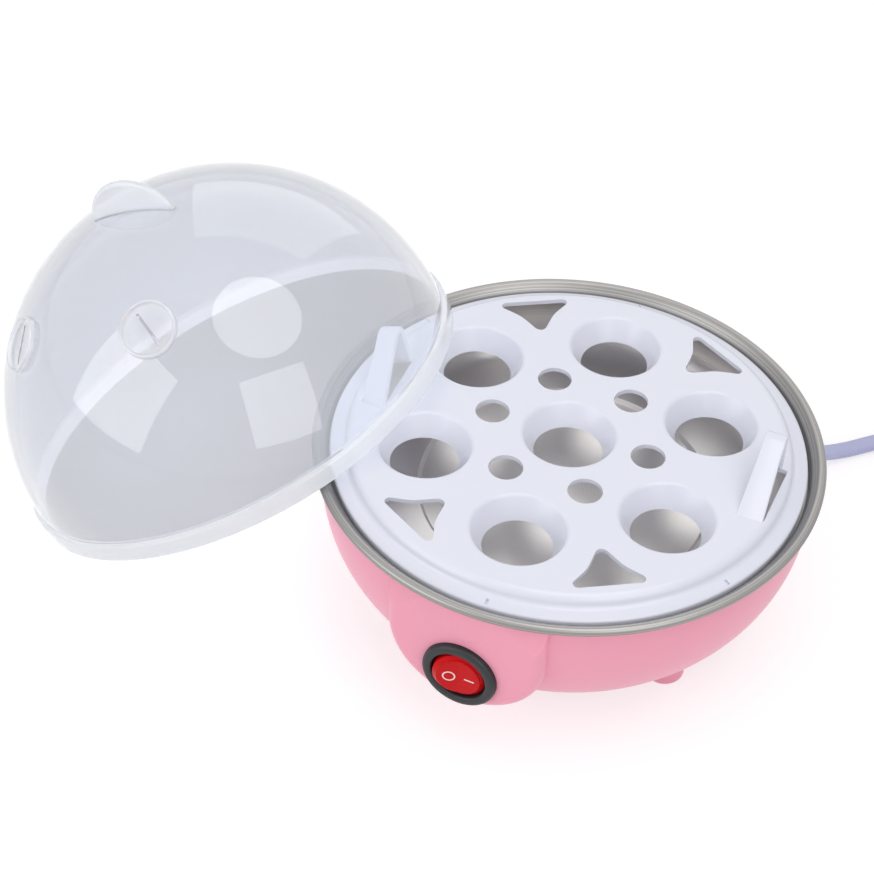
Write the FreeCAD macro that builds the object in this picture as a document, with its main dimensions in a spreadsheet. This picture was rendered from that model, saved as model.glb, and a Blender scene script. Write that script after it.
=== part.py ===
"""Egg cooker with a lift-out tray and a leaning dome lid; millimetres, +Z up, origin on the table."""
import FreeCAD, Part
import math
import os
import Sketcher
from FreeCAD import Placement, Rotation, Vector

DIMENSIONS = {
    # Steel basin
    "rim_radius": 78.8, "rim_top": 62.0, "rim_width": 5.0, "rim_height": 3.4, "steel": 0.8,
    "ledge_radius": 71.8, "ledge_top": 57.0, "corner_radius": 10.0, "corner_reach": 60.5,
    "basin_floor": 42.0, "dish_radius": 46.0, "dish_drop": 1.2,
    # Pink shell and its switch housing
    "shell_wall": 2.0, "shell_top": 58.3, "shell_top_radius": 76.2, "seat_radius": 73.2,
    "seat_top": 56.2, "bowl_radius": 75.4, "lip_inner": 74.9, "shell_floor": 3.5,
    "shell_floor_radius": 40.0,
    "bowl_curve": 48.2, "housing_half": 25.0, "housing_mid": 42.0, "housing_reach": 75.5,
    "taper_top": 76.35, "taper_foot": 90.4,
    "housing_round": 4.0, "service_hole": 30.0, "cord_boss": 7.4, "cord_boss_reach": 64.5,
    "boss_radius": 3.2, "boss_top": 13.5, "boss_circle": 35.5, "pilot_radius": 1.3,
    # Feet and bottom cover
    "foot_radius": 6.3, "foot_circle": 50.3, "foot_height": 14.0, "foot_round": 1.5,
    "cover_radius": 39.0, "cover_thick": 1.6, "screw_radius": 1.25, "screw_head": 2.8,
    "screw_head_high": 1.5, "screw_long": 9.0,
    # Egg tray
    "tray_top": 64.5, "tray_wall": 1.6, "tray_flat": 65.5, "tray_shoulder": 3.0, "tray_radius": 73.3,
    "tray_ledge": 60.2, "tray_foot": 57.2, "egg_circle": 44.5, "egg_hole": 10.65, "egg_cup": 14.5,
    "egg_depth": 7.3, "small_circle": 25.2, "small_hole": 5.3, "vent_inner": 47.1, "vent_outer": 63.6,
    "vent_half": 13.2, "vent_round": 2.0, "strap_reach": 60.9, "strap_wide": 7.4, "strap_thick": 2.2,
    "strap_foot": 14.6, "strap_knee": 10.0, "strap_back": 13.4, "strap_lean": 4.1, "strap_high": 13.2,
    "slot_ramp": 12.6, "slot_leg": 11.2, "slot_wide": 8.2,
    # Lid
    "lid_radius": 75.4, "lid_wall": 1.6, "band_high": 5.4, "dome_radius": 74.2, "fin_half": 15.5,
    "fin_curve": 16.01, "fin_thick": 2.5, "port_radius": 8.9, "port_proud": 2.0, "port_rim": 1.4,
    "port_tilt": 42.0, "slit_long": 12.4, "slit_wide": 1.8,
    # Rocker switch
    "bezel_radius": 11.8, "bezel_thick": 2.2, "barrel_radius": 9.9, "barrel_long": 12.0,
    "switch_hole": 10.1, "well_radius": 8.6, "well_deep": 8.0, "rocker_ball": 8.2, "pivot_depth": 0.2,
    "rocker_face": 1.7, "rocker_back": 3.0, "rocker_throw": 9.0, "pivot_radius": 1.2,
    "pivot_long": 0.9, "pivot_play": 0.05, "switch_high": 31.2, "blade_wide": 4.8, "blade_thick": 0.8,
    "blade_long": 8.0, "blade_pitch": 7.0, "lamp_radius": 1.2, "lamp_long": 5.0,
    # Heater and its controls
    "plate_radius": 40.0, "plate_thick": 4.0, "element_ring": 28.0, "element_radius": 3.2,
    "element_sweep": 300.0, "pin_radius": 1.5, "pin_long": 8.0, "stud_radius": 2.5, "stud_end": 21.5,
    "bar_half": 33.0, "bar_wide": 12.0, "bar_thick": 1.5, "nut_radius": 4.6, "nut_high": 4.0,
    "cap_radius": 8.0, "cap_high": 2.8, "body_radius": 6.6, "body_high": 7.0, "tab_wide": 4.8,
    "tab_thick": 0.8, "tab_long": 5.0, "tab_pitch": 8.0, "control_reach": 15.0, "fuse_radius": 2.8,
    "fuse_long": 22.0, "clip_wide": 7.0, "clip_deep": 12.0, "lead_radius": 1.1,
    # Cord and plug
    "cord_radius": 2.7, "relief_reach": 78.0, "relief_collar": 6.5, "relief_collar_long": 2.0,
    "relief_root": 5.2, "relief_tip": 3.6, "relief_inner": 50.0, "cord_exit": 11.2,
    "coil_outer": 34.0, "coil_pitch": 6.3, "coil_layer": 6.1, "coil_floor": 3.5,
    "tie_wide": 5.0, "tie_thick": 0.6, "tie_room": 0.6, "plug_long": 30.0, "plug_wide": 26.0,
    "plug_neck": 9.0, "plug_thick": 19.0, "plug_round": 3.0, "plug_pin_radius": 2.0,
    "plug_pin_long": 19.0, "plug_pin_pitch": 19.0,
}
# Azimuths about the base axis, in degrees
SWITCH_AZIMUTH = 246.1
SEAT_AZIMUTH = 9.8
CORD_AZIMUTH = 34.0
BAR_AZIMUTH = 60.0
FOOT_AZIMUTHS = (71.8, 191.8, 311.8)
VENT_STEPS = (30, 90, 210, 270)
# Straps: step from the first seat, side of the upright leg along the azimuth, and outward lean
STRAP_STEPS = ((150, -1, 18.0), (330, 1, 0.0))
# Leaning lid: rim centre, tilt from upright and the azimuth that it leans away to
LID_CENTRE = Vector(-104.1, 37.1, 36.5)
LID_TILT = 28.2
LID_AZIMUTH = 161.6
PORT_TURNS = (-63.0, -127.5)
SLIT_TURN = 16.0
# The fin stands a little off the crown, over this edge of the dome
FIN_TILT = 5.0
FIN_SIDE = 144.0
# Where the cord comes down to the table, and its headings there and into the coil
CORD_LANDING = Vector(96.3, 62.7, 0)
CORD_HEADING = 23.0
COIL_HEADING = 16.4
# Turns of the put-away coil before, in and after the climb to its upper layer
COIL_LOWER = 1.5
COIL_CLIMB = 0.5
COIL_TOTAL = 3.25

doc = FreeCAD.newDocument("egg_cooker")
sheet = doc.addObject("Spreadsheet::Sheet", "dims")
for row, (alias, number) in enumerate(DIMENSIONS.items(), start=1):
    sheet.set("A%d" % row, alias)
    sheet.set("B%d" % row, str(number))
    sheet.setAlias("B%d" % row, alias)
doc.recompute()
subparts = {}


class Size:
    """A length that keeps both its value and the sheet expression behind it."""

    def __init__(self, value, text):
        self.value = value
        self.text = text

    def __add__(self, other):
        return Size(self.value + value_of(other), "(%s + %s)" % (self.text, text_of(other)))

    def __sub__(self, other):
        return Size(self.value - value_of(other), "(%s - %s)" % (self.text, text_of(other)))

    def __mul__(self, other):
        return Size(self.value * value_of(other), "(%s * %s)" % (self.text, text_of(other)))


def value_of(item):
    return item.value if isinstance(item, Size) else float(item)


def text_of(item):
    return item.text if isinstance(item, Size) else repr(float(item))


def size(alias):
    return Size(float(sheet.get(alias)), "dims.%s" % alias)


def mm(alias):
    return float(sheet.get(alias))


def polar(reach, azimuth, height=0.0):
    angle = math.radians(azimuth)
    return Vector(reach * math.cos(angle), reach * math.sin(angle), height)


def at_height(point, height):
    return Vector(point.x, point.y, height)


def turned(azimuth, base=Vector()):
    return Placement(base, Rotation(Vector(0, 0, 1), azimuth))


def primitive(kind, name, place=Placement(), **sizes):
    """A Part primitive whose properties follow the sheet."""
    item = doc.addObject("Part::" + kind, name)
    for prop, length in sizes.items():
        item.setExpression(prop, text_of(length))
    item.Placement = place
    return item


def fuse(name, items):
    joined = doc.addObject("Part::MultiFuse", name)
    joined.Shapes = items
    return joined


def cut(name, base, tool):
    result = doc.addObject("Part::Cut", name)
    result.Base = base
    result.Tool = tool
    return result


def solid(name, shape):
    item = doc.addObject("Part::Feature", name)
    item.Shape = shape
    return item


def sub_part(node, item):
    item.Label = node
    subparts[node] = item
    return item


def arc_between(start, end, radius):
    """Arc from start to end; a positive radius bulges to the right of the way along it."""
    chord = end - start
    half = chord.Length / 2
    sagitta = abs(radius) - math.sqrt(radius * radius - half * half)
    side = Vector(chord.y, -chord.x, 0).normalize() * math.copysign(sagitta, radius)
    return Part.Arc(start, (start + end) * 0.5 + side, end)


def end_index(sketch, edge, point):
    first = sketch.getPoint(edge, 1)
    return 1 if (first - point).Length < 1e-6 else 2


def outline_sketch(body, role, outline):
    """Closed sketch on an origin plane; a corner is (across, up) or (across, up, arc radius to the next)."""
    sketch = body.newObject("Sketcher::SketchObject", body.Name + "_outline")
    plane = [item for item in body.Origin.OriginFeatures if item.Role == role][0]
    sketch.AttachmentSupport = [(plane, "")]
    sketch.MapMode = "FlatFace"
    corners = [Vector(value_of(corner[0]), value_of(corner[1]), 0) for corner in outline]
    for index, corner in enumerate(outline):
        start = corners[index]
        end = corners[(index + 1) % len(corners)]
        curve = Part.LineSegment(start, end)
        if len(corner) == 3:
            curve = arc_between(start, end, value_of(corner[2]))
        sketch.addGeometry(curve)
    for index, corner in enumerate(outline):
        bind_corner(sketch, index, corner, corners[index])
        after = (index + 1) % len(corners)
        tail = end_index(sketch, index, corners[after])
        head = end_index(sketch, after, corners[after])
        sketch.addConstraint(Sketcher.Constraint("Coincident", index, tail, after, head))
    return sketch


def bind_corner(sketch, edge, corner, point):
    """Tie a corner's two coordinates, and the radius of an arc that starts there, to the sheet."""
    end = end_index(sketch, edge, point)
    for kind, axis, length in (("DistanceX", -2, corner[0]), ("DistanceY", -1, corner[1])):
        if value_of(length) == 0:
            sketch.addConstraint(Sketcher.Constraint("PointOnObject", edge, end, axis))
            continue
        rule = Sketcher.Constraint(kind, -1, 1, edge, end, value_of(length))
        number = sketch.addConstraint(rule)
        sketch.setExpression("Constraints[%d]" % number, text_of(length))
    if len(corner) == 3:
        rule = Sketcher.Constraint("Radius", edge, abs(value_of(corner[2])))
        number = sketch.addConstraint(rule)
        sketch.setExpression("Constraints[%d]" % number, "abs(%s)" % text_of(corner[2]))


def turned_body(name, outline):
    """A body of revolution about Z from its half outline."""
    body = doc.addObject("PartDesign::Body", name)
    sketch = outline_sketch(body, "XZ_Plane", outline)
    spin = body.newObject("PartDesign::Revolution", name + "_turn")
    spin.Profile = sketch
    spin.ReferenceAxis = (sketch, ["V_Axis"])
    spin.Angle = 360
    sketch.Visibility = False
    return body


def padded_body(name, role, outline, length, middle=False):
    """A prism of an outline on an origin plane."""
    body = doc.addObject("PartDesign::Body", name)
    sketch = outline_sketch(body, role, outline)
    pad = body.newObject("PartDesign::Pad", name + "_pad")
    pad.Profile = sketch
    pad.setExpression("Length", text_of(length))
    pad.Midplane = middle
    sketch.Visibility = False
    return body


def route(points):
    """Straight runs joined by tangent arcs as large as their runs allow; also the arc radii."""
    edges = []
    radii = []
    start = points[0]
    for before, corner, after in zip(points, points[1:], points[2:]):
        back = (before - corner).normalize()
        ahead = (after - corner).normalize()
        reach = 0.45 * min((before - corner).Length, (after - corner).Length)
        half_turn = (math.pi - back.getAngle(ahead)) / 2
        radius = reach / math.tan(half_turn)
        first = corner + back * reach
        last = corner + ahead * reach
        inward = (back + ahead).normalize()
        middle = corner + inward * (radius / math.cos(half_turn) - radius)
        edges.append(Part.LineSegment(start, first).toShape())
        edges.append(Part.Arc(first, middle, last).toShape())
        radii.append(radius)
        start = last
    edges.append(Part.LineSegment(start, points[-1]).toShape())
    return Part.Wire(edges), radii


def tube(name, path, radius):
    """A round tube along a path, checked against its section times its length."""
    start = path.OrderedEdges[0]
    ring = Part.Circle(start.valueAt(start.FirstParameter), start.tangentAt(start.FirstParameter), radius)
    shape = path.makePipeShell([Part.Wire(ring.toShape())], True, False)
    share = shape.Volume / (math.pi * radius * radius * path.Length)
    print("%s length %.1f volume share %.4f" % (name, path.Length, share))
    return solid(name, shape)


def make_basin():
    """Drawn steel dish: hemmed rim, tray ledge, rounded corner and a shallow heated dish."""
    crown = size("rim_height") * 0.5
    inner = size("rim_radius") - size("rim_width")
    under = size("ledge_top") - size("steel")
    corner_top = size("basin_floor") + size("corner_radius")
    wall = size("corner_reach") + size("corner_radius")
    dish = size("basin_floor") - size("dish_drop")
    body = turned_body("basin", [
        (0, dish - size("steel")),
        (size("dish_radius") - 1.5, dish - size("steel")),
        (size("dish_radius"), size("basin_floor") - size("steel")),
        (size("corner_reach"), size("basin_floor") - size("steel"), size("corner_radius") + size("steel")),
        (wall + size("steel"), corner_top),
        (size("ledge_radius") + size("steel"), under),
        (inner + size("steel"), under),
        (inner + size("steel"), size("rim_top") - size("rim_height")),
        (size("rim_radius") - crown, size("rim_top") - size("rim_height"), crown * 1.0001),
        (size("rim_radius") - crown, size("rim_top")),
        (inner + crown, size("rim_top"), crown * 1.0001),
        (inner, size("rim_top") - crown),
        (inner, size("ledge_top")),
        (size("ledge_radius"), size("ledge_top")),
        (wall, corner_top, size("corner_radius") * -1),
        (size("corner_reach"), size("basin_floor")),
        (size("dish_radius"), size("basin_floor")),
        (size("dish_radius") - 1.5, dish),
        (0, dish),
    ])
    sub_part("steel_basin", body)


def housing_outline(half, top):
    """U shape: a half circle below, straight sides above."""
    mid = size("housing_mid")
    return [(half * -1, top), (half * -1, mid, half * 1.0001), (half, mid), (half, top)]


def make_shell():
    """Pink bowl with its switch housing, cord boss and screw bosses, and its openings."""
    wall = size("shell_wall")
    top = size("shell_top")
    above = top + 2
    floor = size("shell_floor")
    floor_radius = size("shell_floor_radius")
    bowl = turned_body("bowl_outside", [
        (0, floor), (floor_radius, floor, size("bowl_curve")), (size("bowl_radius"), size("seat_top")),
        (size("shell_top_radius"), top), (0, top)])
    room = turned_body("bowl_inside", [
        (0, floor + wall), (floor_radius - 0.7, floor + wall, size("bowl_curve") - wall),
        (size("seat_radius"), size("seat_top")), (size("lip_inner"), size("seat_top")),
        (size("lip_inner"), above), (0, above)])
    half = size("housing_half")
    reach = size("housing_reach")
    housing = padded_body("housing_outside", "YZ_Plane", housing_outline(half, top), reach)
    housing_room = padded_body(
        "housing_inside", "YZ_Plane", housing_outline(half - wall, top - wall), reach - wall)
    housing.Placement = turned(SWITCH_AZIMUTH)
    housing_room.Placement = turned(SWITCH_AZIMUTH)
    front = primitive("Cylinder", "switch_hole", along(SWITCH_AZIMUTH, 60.0, mm("switch_high")),
                      Radius=size("switch_hole"), Height=size("cord_boss_reach") * 0.4)
    cord_place = along(CORD_AZIMUTH, mm("relief_inner"), mm("cord_exit"))
    cord_long = size("cord_boss_reach") - size("relief_inner")
    boss = primitive("Cylinder", "cord_boss", cord_place, Radius=size("cord_boss"), Height=cord_long)
    cord_hole = primitive("Cylinder", "cord_hole", cord_place, Radius=size("relief_root"),
                          Height=cord_long + 2)
    service = primitive("Cylinder", "service_hole", Placement(), Radius=size("service_hole"),
                        Height=floor + wall + 1)
    doc.recompute()
    rounded = tapered("housing_outside_tapered", round_housing(housing), 0)
    housing_room = tapered("housing_inside_tapered", housing_room, wall * 1.1)
    outside = fuse("shell_outside", [bowl, rounded, boss])
    inside = fuse("shell_inside", [room, housing_room])
    posts = []
    pilots = []
    for index, azimuth in enumerate(FOOT_AZIMUTHS):
        spot = polar(mm("boss_circle"), azimuth, mm("shell_floor"))
        posts.append(primitive("Cylinder", "post_%d" % index, Placement(spot, Rotation()),
                               Radius=size("boss_radius"), Height=size("boss_top") - floor))
        pilots.append(primitive("Cylinder", "pilot_%d" % index, Placement(spot, Rotation()),
                                Radius=size("pilot_radius"), Height=size("screw_long")))
    space = cut("shell_space", inside, fuse("shell_bosses", [boss] + posts))
    holes = fuse("shell_holes", [front, cord_hole, service] + pilots)
    sub_part("outer_shell", cut("outer_shell", cut("shell_hollow", outside, space), holes))
    return bowl


def along(azimuth, reach, height):
    """Placement whose local Z points outwards along an azimuth."""
    upright = Rotation(Vector(0, 0, 1), Vector(1, 0, 0))
    spin = Rotation(Vector(0, 0, 1), azimuth)
    return Placement(polar(reach, azimuth, height), spin.multiply(upright))


def round_housing(housing):
    """Round the front edge of the switch housing."""
    reach = mm("housing_reach")
    back = housing.Placement.inverse()
    names = []
    for number, edge in enumerate(housing.Shape.Edges, start=1):
        spots = [back.multVec(vertex.Point) for vertex in edge.Vertexes]
        at_front = all(abs(spot.x - reach) < 0.01 for spot in spots)
        on_top = all(abs(spot.z - mm("shell_top")) < 0.01 for spot in spots)
        if at_front and not on_top:
            names.append(number)
    rounding = doc.addObject("Part::Fillet", "housing_rounded")
    rounding.Base = housing
    radius = mm("housing_round")
    rounding.Edges = [(number, radius, radius) for number in names]
    return rounding


def tapered(name, piece, inset):
    """Keep what lies inside a cone that narrows upward, so the corners go flush with the bowl under the rim."""
    cone = primitive("Cone", name + "_limit", Placement(), Radius1=size("taper_foot") - inset,
                     Radius2=size("taper_top") - inset, Height=size("shell_top"))
    kept = doc.addObject("Part::Common", name)
    kept.Base = piece
    kept.Tool = cone
    return kept


def make_feet(bowl):
    """Three moulded feet shaped to the underside of the bowl."""
    feet = []
    for index, azimuth in enumerate(FOOT_AZIMUTHS):
        spot = Placement(polar(mm("foot_circle"), azimuth), Rotation())
        post = primitive("Cylinder", "foot_%d" % index, spot,
                         Radius=size("foot_radius"), Height=size("foot_height"))
        doc.recompute()
        low = [number for number, edge in enumerate(post.Shape.Edges, start=1)
               if edge.BoundBox.ZMax < 0.01]
        soft = doc.addObject("Part::Fillet", "foot_soft_%d" % index)
        soft.Base = post
        soft.Edges = [(number, mm("foot_round"), mm("foot_round")) for number in low]
        feet.append(soft)
    sub_part("feet", cut("feet", fuse("feet_whole", feet), bowl))


def make_bottom_cover():
    """Cover under the shell, held by three screws into the shell's bosses."""
    under = size("shell_floor") - size("cover_thick")
    disc = primitive("Cylinder", "cover_disc", Placement(Vector(0, 0, under.value), Rotation()),
                     Radius=size("cover_radius"), Height=size("cover_thick"))
    holes = []
    screws = []
    for index, azimuth in enumerate(FOOT_AZIMUTHS):
        spot = polar(mm("boss_circle"), azimuth, 0)
        holes.append(primitive("Cylinder", "cover_hole_%d" % index, Placement(spot, Rotation()),
                               Radius=size("screw_radius") + 0.4, Height=size("shell_floor")))
        head_low = under.value - mm("screw_head_high")
        head = primitive("Cylinder", "screw_head_%d" % index,
                         Placement(spot + Vector(0, 0, head_low), Rotation()),
                         Radius=size("screw_head"), Height=size("screw_head_high"))
        shank = primitive("Cylinder", "screw_shank_%d" % index,
                          Placement(spot + Vector(0, 0, head_low), Rotation()),
                          Radius=size("screw_radius"), Height=size("screw_long"))
        slot = primitive("Box", "screw_slot_%d" % index,
                         Placement(spot + Vector(-mm("screw_head"), -0.4, head_low), Rotation()),
                         Length=size("screw_head") * 2, Width=size("steel"), Height=size("steel"))
        screws.append(cut("screw_%d" % index, fuse("screw_blank_%d" % index, [head, shank]), slot))
    sub_part("bottom_cover", cut("bottom_cover", disc, fuse("cover_holes", holes)))
    group = doc.addObject("Part::Compound", "cover_screws")
    group.Links = screws
    sub_part("cover_screws", group)


def make_heater():
    """Plate and ring element under the basin, clamped by a bar on the basin's stud."""
    plate_top = size("basin_floor") - size("dish_drop") - size("steel")
    plate_low = plate_top.value - mm("plate_thick")
    disc = primitive("Cylinder", "plate_disc", Placement(Vector(0, 0, plate_low), Rotation()),
                     Radius=size("plate_radius"), Height=size("plate_thick"))
    stud_high = plate_top - size("stud_end")
    stud = primitive("Cylinder", "stud", Placement(Vector(0, 0, mm("stud_end")), Rotation()),
                     Radius=size("stud_radius"), Height=stud_high)
    bore = primitive("Cylinder", "plate_bore", Placement(Vector(0, 0, plate_low), Rotation()),
                     Radius=size("stud_radius") + 0.3, Height=size("plate_thick"))
    sub_part("heater_plate", cut("heater_plate", disc, bore))
    sub_part("basin_stud", stud)
    ring_high = plate_low - mm("element_radius") - 0.1
    gap_half = (360 - mm("element_sweep")) / 2
    start = BAR_AZIMUTH + 90 + gap_half
    ring = primitive("Torus", "heating_element", turned(start, Vector(0, 0, ring_high)),
                     Radius1=size("element_ring"), Radius2=size("element_radius"),
                     Angle3=size("element_sweep"))
    sub_part("heating_element", ring)
    pins = []
    for index, (azimuth, sense) in enumerate(((start, -1), (start + mm("element_sweep"), 1))):
        root = polar(mm("element_ring"), azimuth, ring_high)
        way = Rotation(Vector(0, 0, 1), polar(1, azimuth + 90) * sense)
        pins.append(primitive("Cylinder", "element_pin_%d" % index, Placement(root, way),
                              Radius=size("pin_radius"), Height=size("pin_long")))
    terminals = doc.addObject("Part::Compound", "element_terminals")
    terminals.Links = pins
    sub_part("element_terminals", terminals)
    bar_top = ring_high - mm("element_radius") - 0.1
    make_clamp(bar_top - mm("bar_thick"))
    make_controls(plate_low)


def make_clamp(bar_low):
    """Clamp bar across the element and the nut under it."""
    half = mm("bar_half")
    place = turned(BAR_AZIMUTH, polar(half, BAR_AZIMUTH + 180, bar_low) + polar(
        mm("bar_wide") / 2, BAR_AZIMUTH - 90))
    bar = primitive("Box", "bar_blank", place, Length=size("bar_half") * 2, Width=size("bar_wide"),
                    Height=size("bar_thick"))
    hole = primitive("Cylinder", "bar_hole", Placement(Vector(0, 0, bar_low), Rotation()),
                     Radius=size("stud_radius") + 0.3, Height=size("bar_thick"))
    sub_part("clamp_bar", cut("clamp_bar", bar, hole))
    nut_place = Placement(Vector(0, 0, bar_low - mm("nut_high")), Rotation())
    hexagon = primitive("Prism", "nut_blank", nut_place, Circumradius=size("nut_radius"),
                        Height=size("nut_high"))
    hexagon.Polygon = 6
    thread = primitive("Cylinder", "nut_thread", nut_place, Radius=size("stud_radius") + 0.02,
                       Height=size("nut_high"))
    sub_part("clamp_nut", cut("clamp_nut", hexagon, thread))


def make_controls(plate_low):
    """Disc thermostat with its tabs, and the thermal fuse in its clip, under the plate."""
    spot = polar(mm("control_reach"), BAR_AZIMUTH - 90, plate_low)
    cap = primitive("Cylinder", "thermostat_cap", Placement(
        spot - Vector(0, 0, mm("cap_high")), Rotation()), Radius=size("cap_radius"),
        Height=size("cap_high"))
    body_low = mm("cap_high") + mm("body_high")
    case = primitive("Cylinder", "thermostat_case", Placement(
        spot - Vector(0, 0, body_low), Rotation()), Radius=size("body_radius"),
        Height=size("body_high"))
    sub_part("thermostat", fuse("thermostat", [cap, case]))
    tabs = []
    for index, side in enumerate((-0.5, 0.5)):
        shift = polar(mm("tab_pitch") * side, BAR_AZIMUTH) + polar(mm("tab_wide") / 2, BAR_AZIMUTH - 90)
        low = spot + shift - Vector(0, 0, body_low + mm("tab_long"))
        tabs.append(primitive("Box", "tab_%d" % index, turned(BAR_AZIMUTH, low),
                              Length=size("tab_thick"), Width=size("tab_wide"), Height=size("tab_long")))
    pair = doc.addObject("Part::Compound", "thermostat_tabs")
    pair.Links = tabs
    sub_part("thermostat_tabs", pair)
    heart = polar(mm("control_reach"), BAR_AZIMUTH + 90, plate_low - mm("fuse_radius") - 0.1)
    start = heart + polar(mm("fuse_long") / 2, BAR_AZIMUTH + 180)
    fuse_place = Placement(start, Rotation(Vector(0, 0, 1), polar(1, BAR_AZIMUTH)))
    sub_part("thermal_fuse", primitive("Cylinder", "thermal_fuse", fuse_place,
                                       Radius=size("fuse_radius"), Height=size("fuse_long")))
    saddle_low = heart + polar(mm("clip_wide") / 2, BAR_AZIMUTH + 180) + polar(
        mm("clip_deep") / 2, BAR_AZIMUTH - 90)
    saddle_low.z = heart.z - mm("fuse_radius") - mm("steel")
    saddle = primitive("Box", "clip_blank", turned(BAR_AZIMUTH, saddle_low), Length=size("clip_wide"),
                       Width=size("clip_deep"), Height=size("fuse_radius") * 2 + size("steel") + 0.1)
    groove = primitive("Cylinder", "clip_groove", fuse_place, Radius=size("fuse_radius") + 0.05,
                       Height=size("fuse_long"))
    sub_part("fuse_clip", cut("fuse_clip", saddle, groove))


def switch_place(depth=0.0, across=0.0, up=0.0):
    """Placement in the switch's frame: local X outwards from the housing's face, Y along it."""
    base = polar(mm("housing_reach") + depth, SWITCH_AZIMUTH, mm("switch_high") + up)
    return turned(SWITCH_AZIMUTH, base + polar(across, SWITCH_AZIMUTH + 90))


def make_switch():
    """Round switch: housing with its bezel, tilting rocker on two pivots, blades and a small lamp."""
    barrel_back = -mm("barrel_long")
    bezel = primitive("Cylinder", "bezel", out_from(0), Radius=size("bezel_radius"),
                      Height=size("bezel_thick"))
    barrel = primitive("Cylinder", "barrel", out_from(barrel_back), Radius=size("barrel_radius"),
                       Height=size("barrel_long"))
    well = primitive("Cylinder", "well", out_from(-mm("well_deep")), Radius=size("well_radius"),
                     Height=size("well_deep") + size("bezel_thick") + 1)
    pivot_reach = size("rocker_ball") + size("pivot_long")
    pivot_low = -pivot_reach.value
    seat = primitive("Cylinder", "pivot_seat", switch_place(mm("pivot_depth"), 0, pivot_low - 0.1),
                     Radius=size("pivot_radius") + size("pivot_play"), Height=pivot_reach * 2 + 0.2)
    case = cut("switch_case", fuse("switch_blank", [bezel, barrel]), fuse("switch_room", [well, seat]))
    sub_part("switch_housing", case)
    make_rocker(pivot_reach)
    blades = []
    for index, side in enumerate((-1, 0, 1)):
        place = switch_place(barrel_back - mm("blade_long"), side * mm("blade_pitch") - mm("blade_thick") / 2,
                             -mm("blade_wide") / 2)
        blades.append(primitive("Box", "blade_%d" % index, place, Length=size("blade_long"),
                                Width=size("blade_thick"), Height=size("blade_wide")))
    group = doc.addObject("Part::Compound", "switch_terminals")
    group.Links = blades
    sub_part("switch_terminals", group)
    lamp_place = switch_place(-mm("well_deep") + 0.2 + mm("lamp_radius"), 0, -mm("lamp_long") / 2)
    sub_part("switch_lamp", primitive("Cylinder", "switch_lamp", lamp_place, Radius=size("lamp_radius"),
                                      Height=size("lamp_long")))


def out_from(depth):
    """Placement on the switch's axis whose local Z points out of the housing."""
    return along(SWITCH_AZIMUTH, mm("housing_reach") + depth, mm("switch_high"))


def make_rocker(pivot_reach):
    """Ball-sided rocker with a shallow V face, shown with its right side pressed."""
    slope = math.tan(math.radians(mm("rocker_throw")))
    edge = mm("rocker_ball") + 1
    front = size("rocker_face")
    rise = edge * slope
    prism = padded_body("rocker_faces", "XY_Plane", [
        (size("rocker_back") * -1, -edge), (size("rocker_back") * -1, edge),
        (front + rise, edge), (front, 0), (front + rise, -edge)], size("rocker_ball") * 3, middle=True)
    ball = primitive("Sphere", "rocker_ball", Placement(), Radius=size("rocker_ball"))
    core = doc.addObject("Part::Common", "rocker_core")
    core.Base = prism
    core.Tool = ball
    pivot = primitive("Cylinder", "rocker_pivot", Placement(Vector(0, 0, -pivot_reach.value), Rotation()),
                      Radius=size("pivot_radius"), Height=pivot_reach * 2)
    rocker = fuse("rocker", [core, pivot])
    pressed = Rotation(Vector(0, 0, 1), SWITCH_AZIMUTH + mm("rocker_throw"))
    rocker.Placement = Placement(switch_place(mm("pivot_depth")).Base, pressed)
    sub_part("rocker", rocker)


def make_leads():
    """Insulated inner leads between the cord, the switch, the controls and the element."""
    cord_in = along(CORD_AZIMUTH, mm("relief_inner"), mm("cord_exit")).Base
    side = polar(2.4, CORD_AZIMUTH + 90)
    inward = polar(1, CORD_AZIMUTH + 180)
    blade_end = -mm("barrel_long") - mm("blade_long")
    left_blade = switch_place(blade_end, -mm("blade_pitch")).Base
    right_blade = switch_place(blade_end, mm("blade_pitch")).Base
    switch_in = polar(1, SWITCH_AZIMUTH + 180)
    tab_low = subparts["thermostat_tabs"]
    tabs = [tab.Shape.BoundBox.Center - Vector(0, 0, tab.Shape.BoundBox.ZLength / 2) for tab in tab_low.Links]
    terminals = subparts["element_terminals"].Links
    pin_ways = [pin.Placement.Rotation.multVec(Vector(0, 0, 1)) for pin in terminals]
    pins = [pin.Placement.Base + way * mm("pin_long") for pin, way in zip(terminals, pin_ways)]
    fuse_body = subparts["thermal_fuse"]
    fuse_way = fuse_body.Placement.Rotation.multVec(Vector(0, 0, 1))
    fuse_ends = [fuse_body.Placement.Base, fuse_body.Placement.Base + fuse_way * mm("fuse_long")]
    low = Vector(0, 0, 8.5)
    fuse_out = fuse_ends[0] - fuse_way * 5
    fuse_in = fuse_ends[1] + fuse_way * 5.5
    pin_out = pins[0] + pin_ways[0] * 4
    pin_in = pins[1] + pin_ways[1] * 5
    runs = {
        "live_lead": [cord_in - side, cord_in - side + inward * 8, Vector(14, 0, 9.5), Vector(-8, -22, 9.5),
                      left_blade + switch_in * 9, left_blade],
        "switched_lead": [right_blade, right_blade + switch_in * 9, tabs[0] - Vector(0, 0, 7), tabs[0]],
        "element_lead": [tabs[1], tabs[1] - Vector(0, 0, 6), Vector(0, 13, 0) + low,
                         pin_in - Vector(0, 0, 9), pin_in, pins[1]],
        "neutral_lead": [cord_in + side, cord_in + side + inward * 9, at_height(fuse_in, 16), fuse_in,
                         fuse_ends[1]],
        "fuse_lead": [fuse_ends[0], fuse_out, at_height(fuse_out, 23), at_height(pin_out, 23),
                      pin_out, pins[0]],
    }
    for node, points in runs.items():
        path = route(points)[0]
        sub_part(node, tube(node, path, mm("lead_radius")))


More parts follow.
